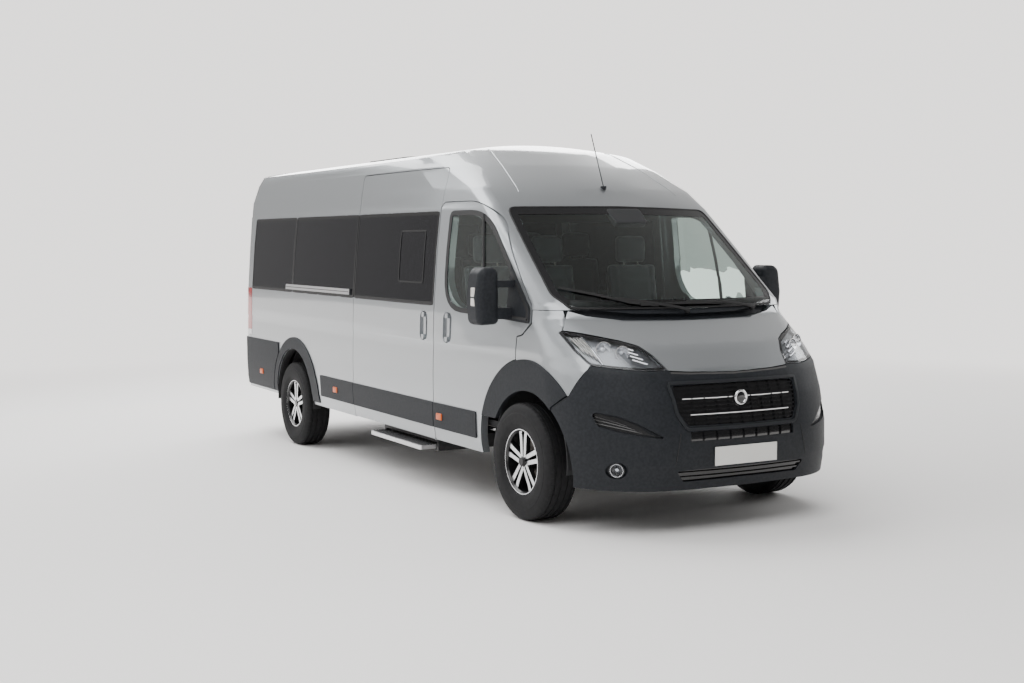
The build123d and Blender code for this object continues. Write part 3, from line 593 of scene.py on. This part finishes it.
def tyre_block(name, x, station):
    """Tyre with grooves round its tread and raised ribs across its shoulders."""
    tyre = spun(TYRE_PROFILE + [(-a, b) for a, b in reversed(TYRE_PROFILE[:-1])], TYRE_PARTS)
    edit(tyre, lambda place, normal: 0.074 < abs(place.x) < 0.099 and math.hypot(place.y, place.z) > 0.353
         and int((math.atan2(place.y, place.z) / math.tau) * TYRE_PARTS + TYRE_PARTS / 2) % 2)
    bpy.ops.mesh.inset(thickness=0.0018, depth=-0.0018)
    smooth(tyre, 30)
    tyre.matrix_world = Matrix.Translation((x, station, AXLE_Z))
    finish_piece(tyre, f"tyre_{name}_tread", "tyre", f"wheel_{name}")
    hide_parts(f"tyre_{name}")


def wheel_dress(name, x, station):
    """Machined faces, cap, bolts and valve of one wheel, and the brake disc seen between its spokes."""
    hand, body = -1 if x < 0 else 1, f"wheel_{name}"
    rim = merged_copy(f"rim_{name}", f"rim_{name}_machined", 25)
    wear(rim, "black_and_painted_shade", "alloy")
    spoke_face, lip_face = x + hand * 0.0785, x + hand * 0.0945
    paint_faces(rim, 1, lambda place, normal: normal.x * hand > 0.9
                and min(abs(place.x - spoke_face), abs(place.x - lip_face)) < 0.003)
    cap = spun([(0.0, 0.0), (0.0, 0.029), (0.010, 0.029), (0.013, 0.026), (0.014, 0.0)], 40)
    cap.matrix_world = (Matrix.Translation((x + hand * 0.070, station, AXLE_Z))
                        @ Matrix.Rotation(0 if hand > 0 else math.pi, 4, "Z"))
    finish_piece(smooth(cap), f"hub_cap_{name}", "alloy", body, look="black_and_painted_shade")
    bolts = []
    for turn in range(BOLTS):
        angle = math.tau * (turn + 0.5) / BOLTS
        at = (x + hand * 0.0745, station + BOLT_CIRCLE * math.sin(angle),
              AXLE_Z + BOLT_CIRCLE * math.cos(angle))
        bolts.append(disc(at, (hand, 0, 0), 0.0085, 0.012, 0.002, 6, 2))
    finish_piece(join(*bolts), f"wheel_bolts_{name}", "alloy", body, look="chrome")
    brake = spun([(-0.012, 0.05), (-0.012, 0.150), (0.012, 0.150), (0.012, 0.05)], 64)
    brake.matrix_world = Matrix.Translation((x - hand * 0.02, station, AXLE_Z))
    finish_piece(smooth(brake), f"brake_disc_{name}", "exhaust_steel", body)
    valve = disc((x + hand * 0.078, station, AXLE_Z + 0.176), (hand, 0, 0), 0.004, 0.022, 0.001, 12, 2)
    finish_piece(valve, f"valve_{name}", "tyre", body, look="rubber")


for wheel, (wheel_x, wheel_station) in WHEELS.items():
    tyre_block(wheel, wheel_x, wheel_station)
    wheel_dress(wheel, wheel_x, wheel_station)

# ---- glass borders and seals
front_skin = Skin("front_bumper", "bonnet", "headlamps", "front_wings", "windscreen", "roof", "cowl",
                  "grille")
screen_skin = Skin("windscreen", "roof", "cowl", "front_wings")
flank = Skin("side_right", "sliding_door", "sliding_door_glass", "side_glass", "front_door_right",
             "front_door_glass_right", "mirror_right", "roof")
tail = Skin("rear_door_right", "rear_door_left", "rear_door_glass_right", "rear_door_glass_left",
            "side_right", "side_left", "roof")
# outlines: (across or station, height, radius of the corner)
SCREEN = [(0, 1.316), (0.491, 1.316), (0.785, 1.320, 0.03), (0.853, 1.400, 0.05), (0.828, 1.672, 0.1),
          (0.796, 1.950, 0.06), (0, 1.960), (-0.796, 1.950, 0.06), (-0.828, 1.672, 0.1),
          (-0.853, 1.400, 0.05), (-0.785, 1.320, 0.03), (-0.491, 1.316)]
PANES = {"slider": (2.160, 3.575), "middle": (3.581, 4.962), "rear": (4.968, 6.060)}      # stations
DOOR_WINDOW = [(2.012, 1.932, 0.05), (2.012, 1.262, 0.25), (1.400, 1.246), (0.910, 1.226),
               (0.921, 1.316, 0.02), (1.552, 1.932, 0.5)]
DOOR_BAR = ((1.592, 1.905), (1.568, 1.800), (1.542, 1.690), (1.517, 1.573), (1.500, 1.470), (1.488, 1.380),
            (1.480, 1.262))


def gasket(line, lay):
    """Thin rubber line round a pane."""
    return bead(laid(lay, inset(line, -0.001), -0.001), 0.0035, True)


screen_line = resample(between(SCREEN, 0.03), 220)
frit = band(inset(screen_line, 0.002), inset(screen_line, 0.048), screen_skin.front, 0.0012, 0.0012)
finish_piece(smooth(frit), "windscreen_border", "black_gloss", look="frit")
seal = bead(laid(screen_skin.front, screen_line), 0.006, True)
finish_piece(seal, "windscreen_seal", "dark_plastic", look="rubber")

for name, (s_from, s_to) in PANES.items():
    loop = resample(between(rect(s_from, s_to, 1.285, 1.932), 0.06, radius=0.014), 140)
    edge = band(inset(loop, 0.001), inset(loop, 0.022), flank.side, 0.0008, 0.0012)
    pair(smooth(edge), f"pane_border_{name}", "black_gloss", look="frit")
    pair(gasket(loop, flank.side), f"pane_gasket_{name}", "dark_plastic", look="rubber")

# small sliding pane in the door's window
vent_loop = resample(between(rect(2.340, 2.760, 1.430, 1.808), 0.05, radius=0.03), 90)
vent_frame = band(vent_loop, inset(vent_loop, 0.012), flank.side, 0.002, 0.003)
finish_piece(smooth(vent_frame), "sliding_pane_frame", "dark_plastic", look="black_gloss")

door_loop = resample(between(DOOR_WINDOW, 0.03), 160)
door_border = band(inset(door_loop, -0.004), inset(door_loop, 0.030), flank.side, 0.0015, 0.004)
pair(smooth(door_border), "door_window_seal", "dark_plastic", "door_front_right", "rubber")
pair(bead(laid(flank.side, DOOR_BAR, 0.001), 0.012), "door_window_bar", "dark_plastic", "door_front_right",
     "rubber")

# ---- grille
bars = [slat(laid(front_skin.front, span((-half, height), (half, height), 24), 0.003), 0.0075, 0.008)
        for height, half in ((0.809, 0.402), (0.719, 0.369))]
finish_piece(join(*bars), "grille_bright_bars", "black_gloss", look="chrome")
# painted shadow: a dark strip 16 mm tall along the bonnet's lower edge, where the gap beneath it lies in
# shade
BONNET_SHADOW_HALF = ((0.439, 0.9580), (0.370, 0.9535), (0.300, 0.9500), (0.150, 0.9455), (0.0, 0.9425))      # half of it
bonnet_shadow_line = [(-x, z) for x, z in BONNET_SHADOW_HALF] + [(x, z) for x, z in reversed(BONNET_SHADOW_HALF[:-1])]
finish_piece(slat(laid(front_skin.front, bonnet_shadow_line, 0.0005), 0.016, 0.003), "bonnet_gap_painted_shadow", "dark_plastic",
             look="black_and_painted_shade")
GRILLE = [(0.471, 0.893), (0.452, 0.730, 0.04), (0.404, 0.646, 0.03)]      # corners on one side
frame_line = resample(between(GRILLE + [(-c[0], *c[1:]) for c in reversed(GRILLE)], 0.02), 150)
surround = band(inset(frame_line, -0.018), frame_line, front_skin.front, 0.0045, 0.006)
finish_piece(smooth(surround, 25), "grille_surround", "dark_plastic", look="satin_black")
creases = [bead(laid(front_skin.front, span((hand * 0.452, 0.618), (hand * 0.492, 0.430), 8)), 0.003)
           for hand in (-1, 1)]
finish_piece(join(*creases), "centre_panel_joints", "dark_plastic", look="rubber")
disc_centre = front_skin.front(0, 0.803, 0.004)
badge_ring = spun([(0.0, 0.030), (0.008, 0.034), (0.011, 0.040), (0.008, 0.046), (0.0, 0.047)], 64)
finish_piece(facing(badge_ring, disc_centre, (0, -1, 0), 60), "badge_ring", "black_gloss", look="chrome")
badge_disc = spun([(0.0, 0.0), (0.0, 0.035), (0.003, 0.035), (0.007, 0.028), (0.009, 0.014),
                   (0.0095, 0.0)], 64)
finish_piece(facing(badge_disc, disc_centre, (0, -1, 0), 60), "badge_disc", "black_gloss")

# ---- headlamps, fog lamps and the vents over them
LAMP = [(0.452, 0.974), (0.484, 1.044, 0.06), (0.542, 1.106, 0.06), (0.627, 1.134), (0.798, 1.173),
        (0.884, 1.189, 0.008), (0.900, 1.180, 0.008), (0.884, 1.085, 0.06), (0.848, 1.000, 0.04),
        (0.719, 0.984), (0.591, 0.973)]
LAMP_DEPTH = 0.045
BOWLS = ((0.655, 1.070, 0.040), (0.745, 1.088, 0.046))      # across, height, radius
FOG = (0.790, 0.403)
VENT = [(0.888, 0.742, 0.02), (0.862, 0.655), (0.780, 0.626, 0.04), (0.680, 0.606), (0.590, 0.598),
        (0.680, 0.672), (0.770, 0.716, 0.06)]
lamp_line = resample(between(LAMP, 0.02), 130)
vent_line = resample(between(VENT, 0.02), 80)


def bowl(centre, heading, radius, depth=0.034):
    """Bright reflector with a bulb cover in its middle."""
    reflector = spun([(0.002, radius + 0.003), (0.002, radius), (-0.010, radius * 0.9),
                      (-0.022, radius * 0.66), (-depth, radius * 0.3), (-depth - 0.002, 0.0),
                      (-depth - 0.005, 0.0), (-depth - 0.003, radius * 0.34), (-0.024, radius * 0.72),
                      (-0.010, radius * 0.96), (-0.002, radius + 0.003)], 48)
    facing(reflector, centre, heading)
    bulb = spun([(-depth, 0.0), (-depth, radius * 0.36), (-0.016, radius * 0.34), (-0.010, radius * 0.22),
                 (-0.008, 0.0)], 32)
    return reflector, facing(bulb, centre, heading)


for word, hand in SIDES:
    def nose(x, height, proud):
        """Point on the nose, on this side."""
        return front_skin.front(hand * x, height, proud)

    lens = patch(inset(lamp_line, 0.0015), nose, -0.0015, 0.0025, 7)
    finish_piece(smooth(lens, 40), f"headlamp_lens_{word}", "lamp_lens")
    floor = patch(inset(lamp_line, 0.006), nose, -LAMP_DEPTH, 0.002, 7)
    case = join(floor, wall(laid(nose, inset(lamp_line, 0.001), -0.004),
                            laid(nose, inset(lamp_line, 0.006), -LAMP_DEPTH), 0.0015, -1))
    finish_piece(smooth(case, 40), f"headlamp_case_{word}", "dark_plastic", look="lamp_case")
    rim = band(inset(lamp_line, 0.002), inset(lamp_line, 0.013), nose, -0.0045, 0.0015)
    finish_piece(smooth(rim), f"headlamp_edge_{word}", "dark_plastic", look="frit")
    mirrors, bulbs = [], []
    for x, height, radius in BOWLS:
        reflector, bulb = bowl(nose(x, height, -0.014), (hand * 0.25, -1, 0.05), radius)
        mirrors.append(reflector)
        bulbs.append(bulb)
    # inner daytime lamp, a wedge of bright bars
    for k in range(4):
        wedge = [(x, 1.012 + 0.021 * k + (x - 0.56) * 0.35) for x in steps(0.545 + 0.012 * k, 0.620, 5)]
        mirrors.append(slat(laid(nose, wedge, -0.016), 0.010, 0.012))
    mirrors.append(slat(laid(nose, span((0.786, 1.005), (0.812, 1.160), 6), -0.012), 0.007, 0.008))
    finish_piece(join(*mirrors), f"headlamp_reflectors_{word}", "lamp_lens", look="chrome")
    finish_piece(join(*bulbs), f"headlamp_bulbs_{word}", "lamp_lens", look="bulb_glass")
    uprights = []
    for k in range(4):
        line = span((0.800 + 0.014 * k, 1.040 + 0.012 * k), (0.822 + 0.014 * k, 1.150), 6)
        uprights.append(slat(laid(nose, line, -0.012), 0.008, 0.010))
    finish_piece(join(*uprights), f"headlamp_indicator_{word}", "lamp_lens", look="clear_indicator")
    # fog lamp
    spot = nose(*FOG, 0.0)
    heading = outward(front_skin.front, hand * FOG[0], FOG[1])
    fog_ring = spun([(-0.012, 0.039), (-0.001, 0.039), (0.0015, 0.042), (-0.001, 0.046),
                     (-0.012, 0.046)], 48)
    finish_piece(facing(fog_ring, spot, heading), f"fog_lamp_ring_{word}", "lamp_lens", look="satin_black")
    reflector, bulb = bowl(spot + heading * -0.004, heading, 0.037, 0.016)
    finish_piece(reflector, f"fog_lamp_bowl_{word}", "lamp_lens", look="chrome")
    finish_piece(bulb, f"fog_lamp_bulb_{word}", "lamp_lens", look="bulb_glass")
    fog_glass = spun([(-0.003, 0.0), (-0.003, 0.039), (-0.001, 0.039), (0.002, 0.02), (0.0025, 0.0)], 48)
    finish_piece(facing(fog_glass, spot, heading), f"fog_lamp_glass_{word}", "lamp_lens")
    # painted shade: a black sheet laid over the vent above it, standing for the shade in its pocket, with
    # the vent's slats
    finish_piece(smooth(patch(inset(vent_line, 0.008), nose, 0.0012, 0.001)), f"vent_painted_shade_{word}",
                 "dark_plastic", look="black_and_painted_shade")
    fins = []
    for k in range(3):
        line = span((0.660 + 0.035 * k, 0.621 + 0.021 * k), (0.872 + 0.003 * k, 0.674 + 0.022 * k), 8)
        fins.append(slat(laid(nose, line, -0.004), 0.006, 0.012))
    finish_piece(join(*fins), f"vent_slats_{word}", "dark_plastic", look="black_gloss")
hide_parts("headlamps")

# ---- wipers and the box behind the screen
WIPERS = (      # blade, arm
    ([(-0.790, 1.442), (-0.690, 1.422), (-0.556, 1.392), (-0.400, 1.352), (-0.220, 1.332)],
     [(-0.010, 1.300), (-0.080, 1.318), (-0.240, 1.345), (-0.480, 1.378)]),
    ([(-0.340, 1.338), (-0.180, 1.342), (-0.020, 1.344), (0.140, 1.343), (0.290, 1.338)],
     [(0.570, 1.302), (0.500, 1.320), (0.300, 1.345), (-0.010, 1.354)]),
)
SENSOR_BOX = [(-0.105, 1.832, 0.02), (0.150, 1.838, 0.02), (0.165, 1.935, 0.02), (-0.120, 1.930, 0.02)]
wipers = []
for blade, arm in WIPERS:
    wipers.append(slat(laid(screen_skin.front, blade, 0.010), 0.010, 0.014))
    wipers.append(slat(laid(screen_skin.front, blade, 0.019), 0.016, 0.005))
    wipers.append(slat(laid(screen_skin.front, arm, 0.028), 0.018, 0.010, 0.003))
    wipers.append(disc(screen_skin.front(*arm[0], 0.012), (0, -0.5, 1), 0.017, 0.034, 0.005, 24))
finish_piece(join(*wipers), "wipers", "dark_plastic", look="rubber")
sensor_box = patch(resample(between(SENSOR_BOX, 0.02), 60), screen_skin.front, -0.030, 0.045)
finish_piece(smooth(rounded(sensor_box, 0.006), 40), "sensor_box", "cabin_plastic")

# ---- door mirrors
MIRROR = [(-1.056, 1.210, 0.03), (-1.208, 1.203, 0.045), (-1.222, 1.380), (-1.196, 1.562, 0.06),
          (-1.062, 1.566, 0.045)]
MIRROR_BACK = 1.250      # station of the housing's open side
SPLIT = 1.318      # height at which the glass is split
mirror_line = resample(between(MIRROR, 0.02), 100)


def behind_mirror(x, height, proud):
    """Point on the housing's open side."""
    return Vector((x, MIRROR_BACK + proud, height))


glass = patch(inset(mirror_line, 0.018), behind_mirror, 0.0005, 0.003)
pair(smooth(glass), "mirror_glass", "black_gloss", "door_front_right", "mirror_glass")
mirror_rim = band(inset(mirror_line, 0.010), inset(mirror_line, 0.020), behind_mirror, 0.0015, 0.004)
pair(smooth(mirror_rim), "mirror_rim", "dark_plastic", "door_front_right")
mirror_seam = bead([Vector((x, 1.206, z)) for x, z in inset(mirror_line, 0.0022)], 0.002, True)
pair(mirror_seam, "mirror_seam", "dark_plastic", "door_front_right", "rubber")
indicator = cube((-1.2215, 1.150, 1.325), (-1.205, 1.198, 1.440), 0.005, 4)
pair(smooth(indicator), "mirror_indicator", "lamp_lens", "door_front_right", "clear_indicator")

# ---- flank
MARKERS = (("door_front_right", 2.047), ("body", 3.948), ("body", 5.762))      # body and station
trim_skin = Skin("side_cladding", "front_door_strip_right", "front_flares", "rear_bumper", "side_right",
                 "front_door_right")
for body, station in MARKERS:
    x = trim_skin.side(station, 0.520).x
    marker = cube((x - 0.008, station - 0.040, 0.497), (x + 0.006, station + 0.040, 0.543), 0.006, 4)
    pair(smooth(marker), f"side_marker_{round(station * 1000)}", "lamp_lens", body, "amber")
ARCH_MIDDLE, ARCH_RADIUS, ARCH_WIDTH = (-0.972, 4.925, 0.345), 0.441, 0.070      # of the lining
bpy.ops.mesh.primitive_cylinder_add(vertices=128, radius=ARCH_RADIUS, depth=ARCH_WIDTH,
                                    end_fill_type="NOTHING", location=ARCH_MIDDLE,
                                    rotation=(0, math.pi / 2, 0))
lining = settle(bpy.context.object)
edit(lining, lambda place, normal: place.z < 0.300)
bpy.ops.mesh.delete(type="FACE")
modify(lining, "SOLIDIFY", thickness=0.003)
pair(smooth(rounded(lining, 0.001, 2)), "rear_arch_lining", "dark_plastic", look="rubber")
RAIL_Z = 1.328
rail_ends = []
for station in (3.640, 5.109):
    x = flank.side(station + 0.008, RAIL_Z).x
    rail_ends.append(cube((x - 0.010, station, RAIL_Z - 0.025), (x + 0.006, station + 0.018, RAIL_Z + 0.025),
                          0.004, 3))
finish_piece(smooth(join(*rail_ends)), "rail_ends", "dark_plastic")
rail_groove = slat(laid(flank.side, span((3.670, RAIL_Z), (5.095, RAIL_Z), 30), 0.0105), 0.006, 0.004)
finish_piece(rail_groove, "rail_groove", "dark_plastic", look="rubber")
ROOF_CREASE = ((0.498, 2.300), (0.566, 2.000), (0.643, 1.600))      # across, station
crease_line = [spot for ends in zip(ROOF_CREASE, ROOF_CREASE[1:]) for spot in span(*ends, 6)[:-1]]
crease_line.append(ROOF_CREASE[-1])
top_skin = Skin("roof", "side_right", "side_left")
for word, hand in SIDES:
    crease = bead([top_skin.top(hand * x, station) for x, station in crease_line], 0.0035)
    finish_piece(smooth(crease, 60), f"roof_crease_{word}", "paint")

# ---- entry step
grips = [cube((x, 2.276, 0.2915), (x + 0.012, 3.129, 0.2955), 0.0012, 2)
         for x in [-1.040 + 0.022 * row for row in range(5)]]
finish_piece(join(*grips), "step_grips", "step_aluminium", "entry_step", look="rubber")

# ---- rear end
LAMP_JOINTS = (0.981, 1.150)      # heights at which a tail lamp's colours meet
REAR_WINDOW = [(-0.070, 1.285, 0.05), (-0.735, 1.285, 0.05), (-0.690, 1.932, 0.05), (-0.070, 1.932, 0.05)]
for word, hand in SIDES:
    joints = [bead(laid(tail.rear, span((hand * 0.880, z), (hand * 0.960, z), 5), 0.001), 0.002)
              for z in LAMP_JOINTS]
    finish_piece(join(*joints), f"tail_lamp_joints_{word}", "red_lens", look="rubber")
rear_loop = resample(between(REAR_WINDOW, 0.05), 110)
rear_border = band(inset(rear_loop, 0.001), inset(rear_loop, 0.030), tail.rear, 0.0008, 0.0012)
pair(smooth(rear_border), "rear_window_border", "black_gloss", "door_rear_right", "frit")
pair(gasket(rear_loop, tail.rear), "rear_window_gasket", "dark_plastic", "door_rear_right", "rubber")
y = tail.rear(-0.060, 1.080).y
handle = join(cube((-0.095, y - 0.004, 0.985), (-0.035, y + 0.010, 1.155), 0.008, 4),
              cube((-0.080, y + 0.008, 1.000), (-0.050, y + 0.026, 1.140), 0.009, 4))
finish_piece(smooth(handle), "rear_door_handle", "dark_plastic", "door_rear_right")
y = tail.rear(0.300, 0.900).y
plate_box = cube((0.045, y - 0.004, 0.790), (0.580, y + 0.006, 0.925), 0.006, 3)
finish_piece(smooth(plate_box), "rear_plate_holder", "dark_plastic", "door_rear_left")
rear_plate = cube((0.053, y + 0.004, 0.797), (0.572, y + 0.009, 0.910), 0.002, 2)
finish_piece(rear_plate, "rear_plate", "plate_white", "door_rear_left")
y = tail.rear(-0.2, 2.262).y
upper_lamp = cube((-0.180, y - 0.010, 2.258), (0.180, y + 0.006, 2.282), 0.004, 3)
finish_piece(smooth(upper_lamp), "upper_brake_lamp", "red_lens")

# ---- cabin
PAD_VOXEL, PAD_PRESSURE, CROWN = 0.013, 3.0, 0.006
SEAM_DEPTH, SEAM_WIDTH = 0.006, 0.011
STUFFING_FRAMES = 15
SEATS = {      # base height, width, then (x, station) of each seat
    "front": (0.860, 0.430, [(0.480, 1.420), (-0.230, 1.420), (-0.690, 1.420)]),
    "passenger": (0.890, 0.420, [(x, s) for s in (2.500, 3.250, 4.000) for x in (-0.690, 0.230, 0.690)]
                  + [(x, 5.560) for x in (-0.690, -0.230, 0.230, 0.690)]),
}
BACK_LEAN = math.atan2(0.090, 0.580)
COLUMN_LEAN = math.atan2(0.62, 0.78)


def swollen(block, cap):
    """Stuff a closed block: cloth blown up from inside, no point moving further than a cap."""
    modify(block, "REMESH", mode="VOXEL", voxel_size=PAD_VOXEL)
    places = [vertex.co.copy() for vertex in block.data.vertices]
    pick(block)
    blown = block.modifiers.new("stuffing", "CLOTH")
    blown.settings.use_pressure = True
    blown.settings.uniform_pressure_force = PAD_PRESSURE
    blown.settings.effector_weights.gravity = 0
    blown.settings.quality = 5
    blown.collision_settings.use_collision = False
    for step in range(STUFFING_FRAMES):
        bpy.context.scene.frame_set(step + 1)
    bpy.ops.object.modifier_apply(modifier=blown.name)
    for vertex, place in zip(block.data.vertices, places):
        shift = vertex.co - place
        if shift.length > cap:
            vertex.co = place + shift.normalized() * cap
    bpy.context.scene.frame_set(1)


def sewn(pad, lines):
    """Press channels into a pad's upper side, each along x or y at a distance from its middle."""
    for vertex in pad.data.vertices:
        if vertex.normal.z < 0.25:
            continue
        for axis, place in lines:
            away = abs(vertex.co[axis]) - place if place > 0 else vertex.co[axis] - place
            vertex.co.z -= SEAM_DEPTH * math.exp(-(away / SEAM_WIDTH) ** 2)
    return smooth(pad, 70)


def pad_shape(size, rounding, lines, cap=0.012):
    """Crowned pad lying about the origin, its sides drawn in between its corners."""
    half = [length / 2 - cap * 0.5 for length in size]
    block = cube([-length for length in half], half, rounding, 5)
    swollen(block, cap)
    for vertex in block.data.vertices:
        crown = (1 - (vertex.co.x / half[0]) ** 2) * (1 - (vertex.co.y / half[1]) ** 2)
        if vertex.co.z > 0:
            vertex.co.z += CROWN * max(crown, 0)
    return sewn(block, lines)


def placed(master, shift, lean):
    """Copy of a pad, leaned back and moved to its seat."""
    pick(master)
    bpy.ops.object.duplicate()
    twin = bpy.context.object
    twin.matrix_world = Matrix.Translation(shift) @ Matrix.Rotation(lean, 4, "X")
    return settle(twin)


for group, (base, width, places) in SEATS.items():
    seam = (0, width * 0.30)
    masters = {
        "cushions": (pad_shape((width, 0.395, 0.125), 0.035, [seam, (1, -0.05), (1, 0.07)]),
                     (0.0, 0.200, 0.073), 0.0),
        "backrests": (pad_shape((width, 0.575, 0.080), 0.030, [seam, (1, -0.17), (1, 0.0), (1, 0.17)]),
                      (0.0, 0.452, 0.430), math.pi / 2 - BACK_LEAN),
        "headrests": (pad_shape((0.250, 0.195, 0.078), 0.030, [(1, -0.05)], cap=0.008),
                      (0.0, 0.505, 0.812), math.pi / 2 - 0.06),
    }
    for kind, (master, shift, lean) in masters.items():
        pads = [placed(master, (x + shift[0], s + shift[1], base + shift[2]), lean) for x, s in places]
        bpy.data.objects.remove(master)
        pads = finish_piece(join(*pads), f"{group}_{kind}", "seat_fabric")
        if kind == "cushions":
            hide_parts(f"{group}_seats")
    # shells behind the backs and posts under the headrests
    shells, posts = [], []
    for x, s in places:
        shell = cube((x - width / 2 + 0.02, s + 0.496, base + 0.16),
                     (x + width / 2 - 0.02, s + 0.512, base + 0.64), 0.007, 3)
        edit(shell)
        bpy.ops.transform.rotate(value=BACK_LEAN * 0.9, orient_axis="X",
                                 center_override=(x, s + 0.47, base + 0.40))
        shells.append(shell)
        for side in (-0.06, 0.06):
            posts.append(bead([(x + side, s + 0.490, base + 0.66),
                               (x + side, s + 0.503, base + 0.76)], 0.006))
    shells, posts = join(*shells), join(*posts)
    finish_piece(smooth(shells), f"{group}_seat_shells", "cabin_plastic")
    finish_piece(posts, f"{group}_headrest_posts", "steel", look="exhaust_steel")

bpy.ops.mesh.primitive_torus_add(major_radius=0.178, minor_radius=0.014, major_segments=72,
                                 minor_segments=16)
wheel = join(bpy.context.object,
             disc((0, 0, 0.004), (0, 0, 1), 0.058, 0.034, 0.012, 40, 4),
             cube((-0.172, -0.016, -0.006), (0.172, 0.016, 0.008), 0.006, 3),
             cube((-0.018, -0.172, -0.006), (0.018, 0.0, 0.008), 0.006, 3),
             disc((0, 0, -0.085), (0, 0, 1), 0.024, 0.15, 0.004, 32))
smooth(wheel, 45)
wheel.matrix_world = Matrix.Translation((0.450, 1.3374, 1.1994)) @ Matrix.Rotation(-COLUMN_LEAN, 4, "X")
finish_piece(wheel, "steering_wheel_rim", "cabin_plastic")
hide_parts("steering_wheel")

# ---- panels that need nothing but their looks
tail_lamps = merged_copy("tail_lamps", "tail_lamps_panel")
edit(tail_lamps)
bpy.ops.mesh.bisect(plane_co=(0, 3.1, LAMP_JOINTS[0]), plane_no=(0, 0, 1))
wear(tail_lamps, "red_lens", "clear_lens")
paint_faces(tail_lamps, 1, lambda place, normal: place.z < LAMP_JOINTS[0])
for node in ("dashboard", "side_step", "number_plate", "slider_rail", "roof_fittings"):
    merged_copy(node, f"{node}_panel")

# ---- studio
SEEN_COLOUR = (1.0, 0.972, 0.95, 1)      # the backdrop as the camera sees it
SEEN_STRENGTH = 1.95
FADE = (5.0, 13.0)      # distances from the vehicle's middle
LIGHTS = (          # name, place, size, power, the spot it is aimed at
    ("side_box", (-9.5, 0.5, 4.6), (9, 4), 130, (0, 0, 0.9)),
    ("back_box", (4.5, 9.5, 6.0), (9, 5), 1050, (0, 0, 0.9)),
    ("roof_box", (-3.0, 4.5, 8.0), (9, 8), 1050, (0, 0, 0.9)),
    ("left_box", (9.5, -2.0, 4.5), (6, 4), 260, (0, 0, 0.9)),
    ("front_box", (-4.0, -11.0, 5.0), (7, 3), 60, (0, 0, 0.9)),
    ("floor_box", (-4.5, -6.0, 6.5), (9, 6), 560, (-4.5, -6.0, 0)),
)
EYE = (-5.036, -9.268, 1.602)
YAW, PITCH, ROLL = math.radians(29.49), math.radians(3.46), math.radians(-0.38)
SENSOR, FOCAL_WIDTHS = 36, 1318.8 / 1024      # the focal length is given in widths of the image


def backdrop():
    """Pale seamless backdrop; the light it gives falls off towards the front, as in a half-lit studio."""
    world = bpy.context.scene.world or bpy.data.worlds.new("studio")
    bpy.context.scene.world = world
    world.use_nodes = True
    tree = world.node_tree
    tree.nodes.clear()
    place, parts, ramp = add(tree, "TexCoord"), add(tree, "SeparateXYZ"), add(tree, "ValToRGB")
    spread = add(tree, "MapRange", From_Min=-1)
    stops = ramp.color_ramp.elements
    stops[0].position, stops[0].color = 0.30, (0.13, 0.128, 0.126, 1)
    stops[1].position, stops[1].color = 0.95, (0.42, 0.413, 0.406, 1)
    for position, level in ((0.62, 0.40), (0.82, 0.95)):
        stops.new(position).color = (level, level * 0.985, level * 0.97, 1)
    glow = add(tree, "Background")
    seen = add(tree, "Background", Color=SEEN_COLOUR, Strength=SEEN_STRENGTH)
    path, mix, end = add(tree, "LightPath"), add(tree, "MixShader"), add(tree, "OutputWorld")
    link(tree, (place, "Generated", parts, "Vector"), (parts, "Y", spread, "Value"),
         (spread, "Result", ramp, "Fac"), (ramp, "Color", glow, "Color"),
         (path, "Is Camera Ray", mix, "Fac"), (glow, "Background", mix, 1),
         (seen, "Background", mix, 2), (mix, "Shader", end, "Surface"))


def floor_finish():
    """Pale matt floor that passes into the backdrop some metres away from the vehicle."""
    floor = shader("studio_floor", (0.97, 0.955, 0.94), 0.85, Specular_IOR_Level=0.2)
    tree = floor.node_tree
    place, away = add(tree, "TexCoord"), add(tree, "VectorMath")
    away.operation = "LENGTH"
    fade = add(tree, "MapRange", From_Min=FADE[0], From_Max=FADE[1])
    fade.interpolation_type = "SMOOTHSTEP"
    glow = add(tree, "Emission", Color=SEEN_COLOUR, Strength=SEEN_STRENGTH)
    mix, end = add(tree, "MixShader"), tree.nodes["Material Output"]
    link(tree, (place, "Object", away, 0), (away, "Value", fade, "Value"), (fade, "Result", mix, "Fac"),
         (tree.nodes["Principled BSDF"], "BSDF", mix, 1), (glow, "Emission", mix, 2),
         (mix, "Shader", end, "Surface"))
    return floor


def studio():
    """Floor, backdrop and lights."""
    bpy.ops.mesh.primitive_plane_add(size=400, location=(0, 0, 0))
    ground = bpy.context.object
    ground.name = "studio_floor"
    ground.data.materials.append(floor_finish())
    backdrop()
    for name, place, size, power, target in LIGHTS:
        light = bpy.data.lights.new(name, "AREA")
        light.shape = "RECTANGLE"
        light.size, light.size_y = size
        light.energy = power
        lamp = bpy.data.objects.new(name, light)
        bpy.context.scene.collection.objects.link(lamp)
        lamp.location = place
        aim = Vector(target) - Vector(place)
        lamp.rotation_euler = aim.to_track_quat("-Z", "Y").to_euler()


def camera():
    """Camera at eye height, ahead and to the vehicle's right."""
    lens = bpy.data.cameras.new("viewpoint")
    lens.sensor_width = SENSOR
    lens.lens = SENSOR * FOCAL_WIDTHS
    eye = bpy.data.objects.new("viewpoint", lens)
    bpy.context.scene.collection.objects.link(eye)
    turn = (Matrix.Rotation(-YAW, 4, "Z") @ Matrix.Rotation(math.pi / 2 - PITCH, 4, "X")
            @ Matrix.Rotation(ROLL, 4, "Z"))
    eye.matrix_world = Matrix.Translation(EYE) @ turn
    lens.clip_end = 200
    bpy.context.scene.camera = eye


studio()
camera()
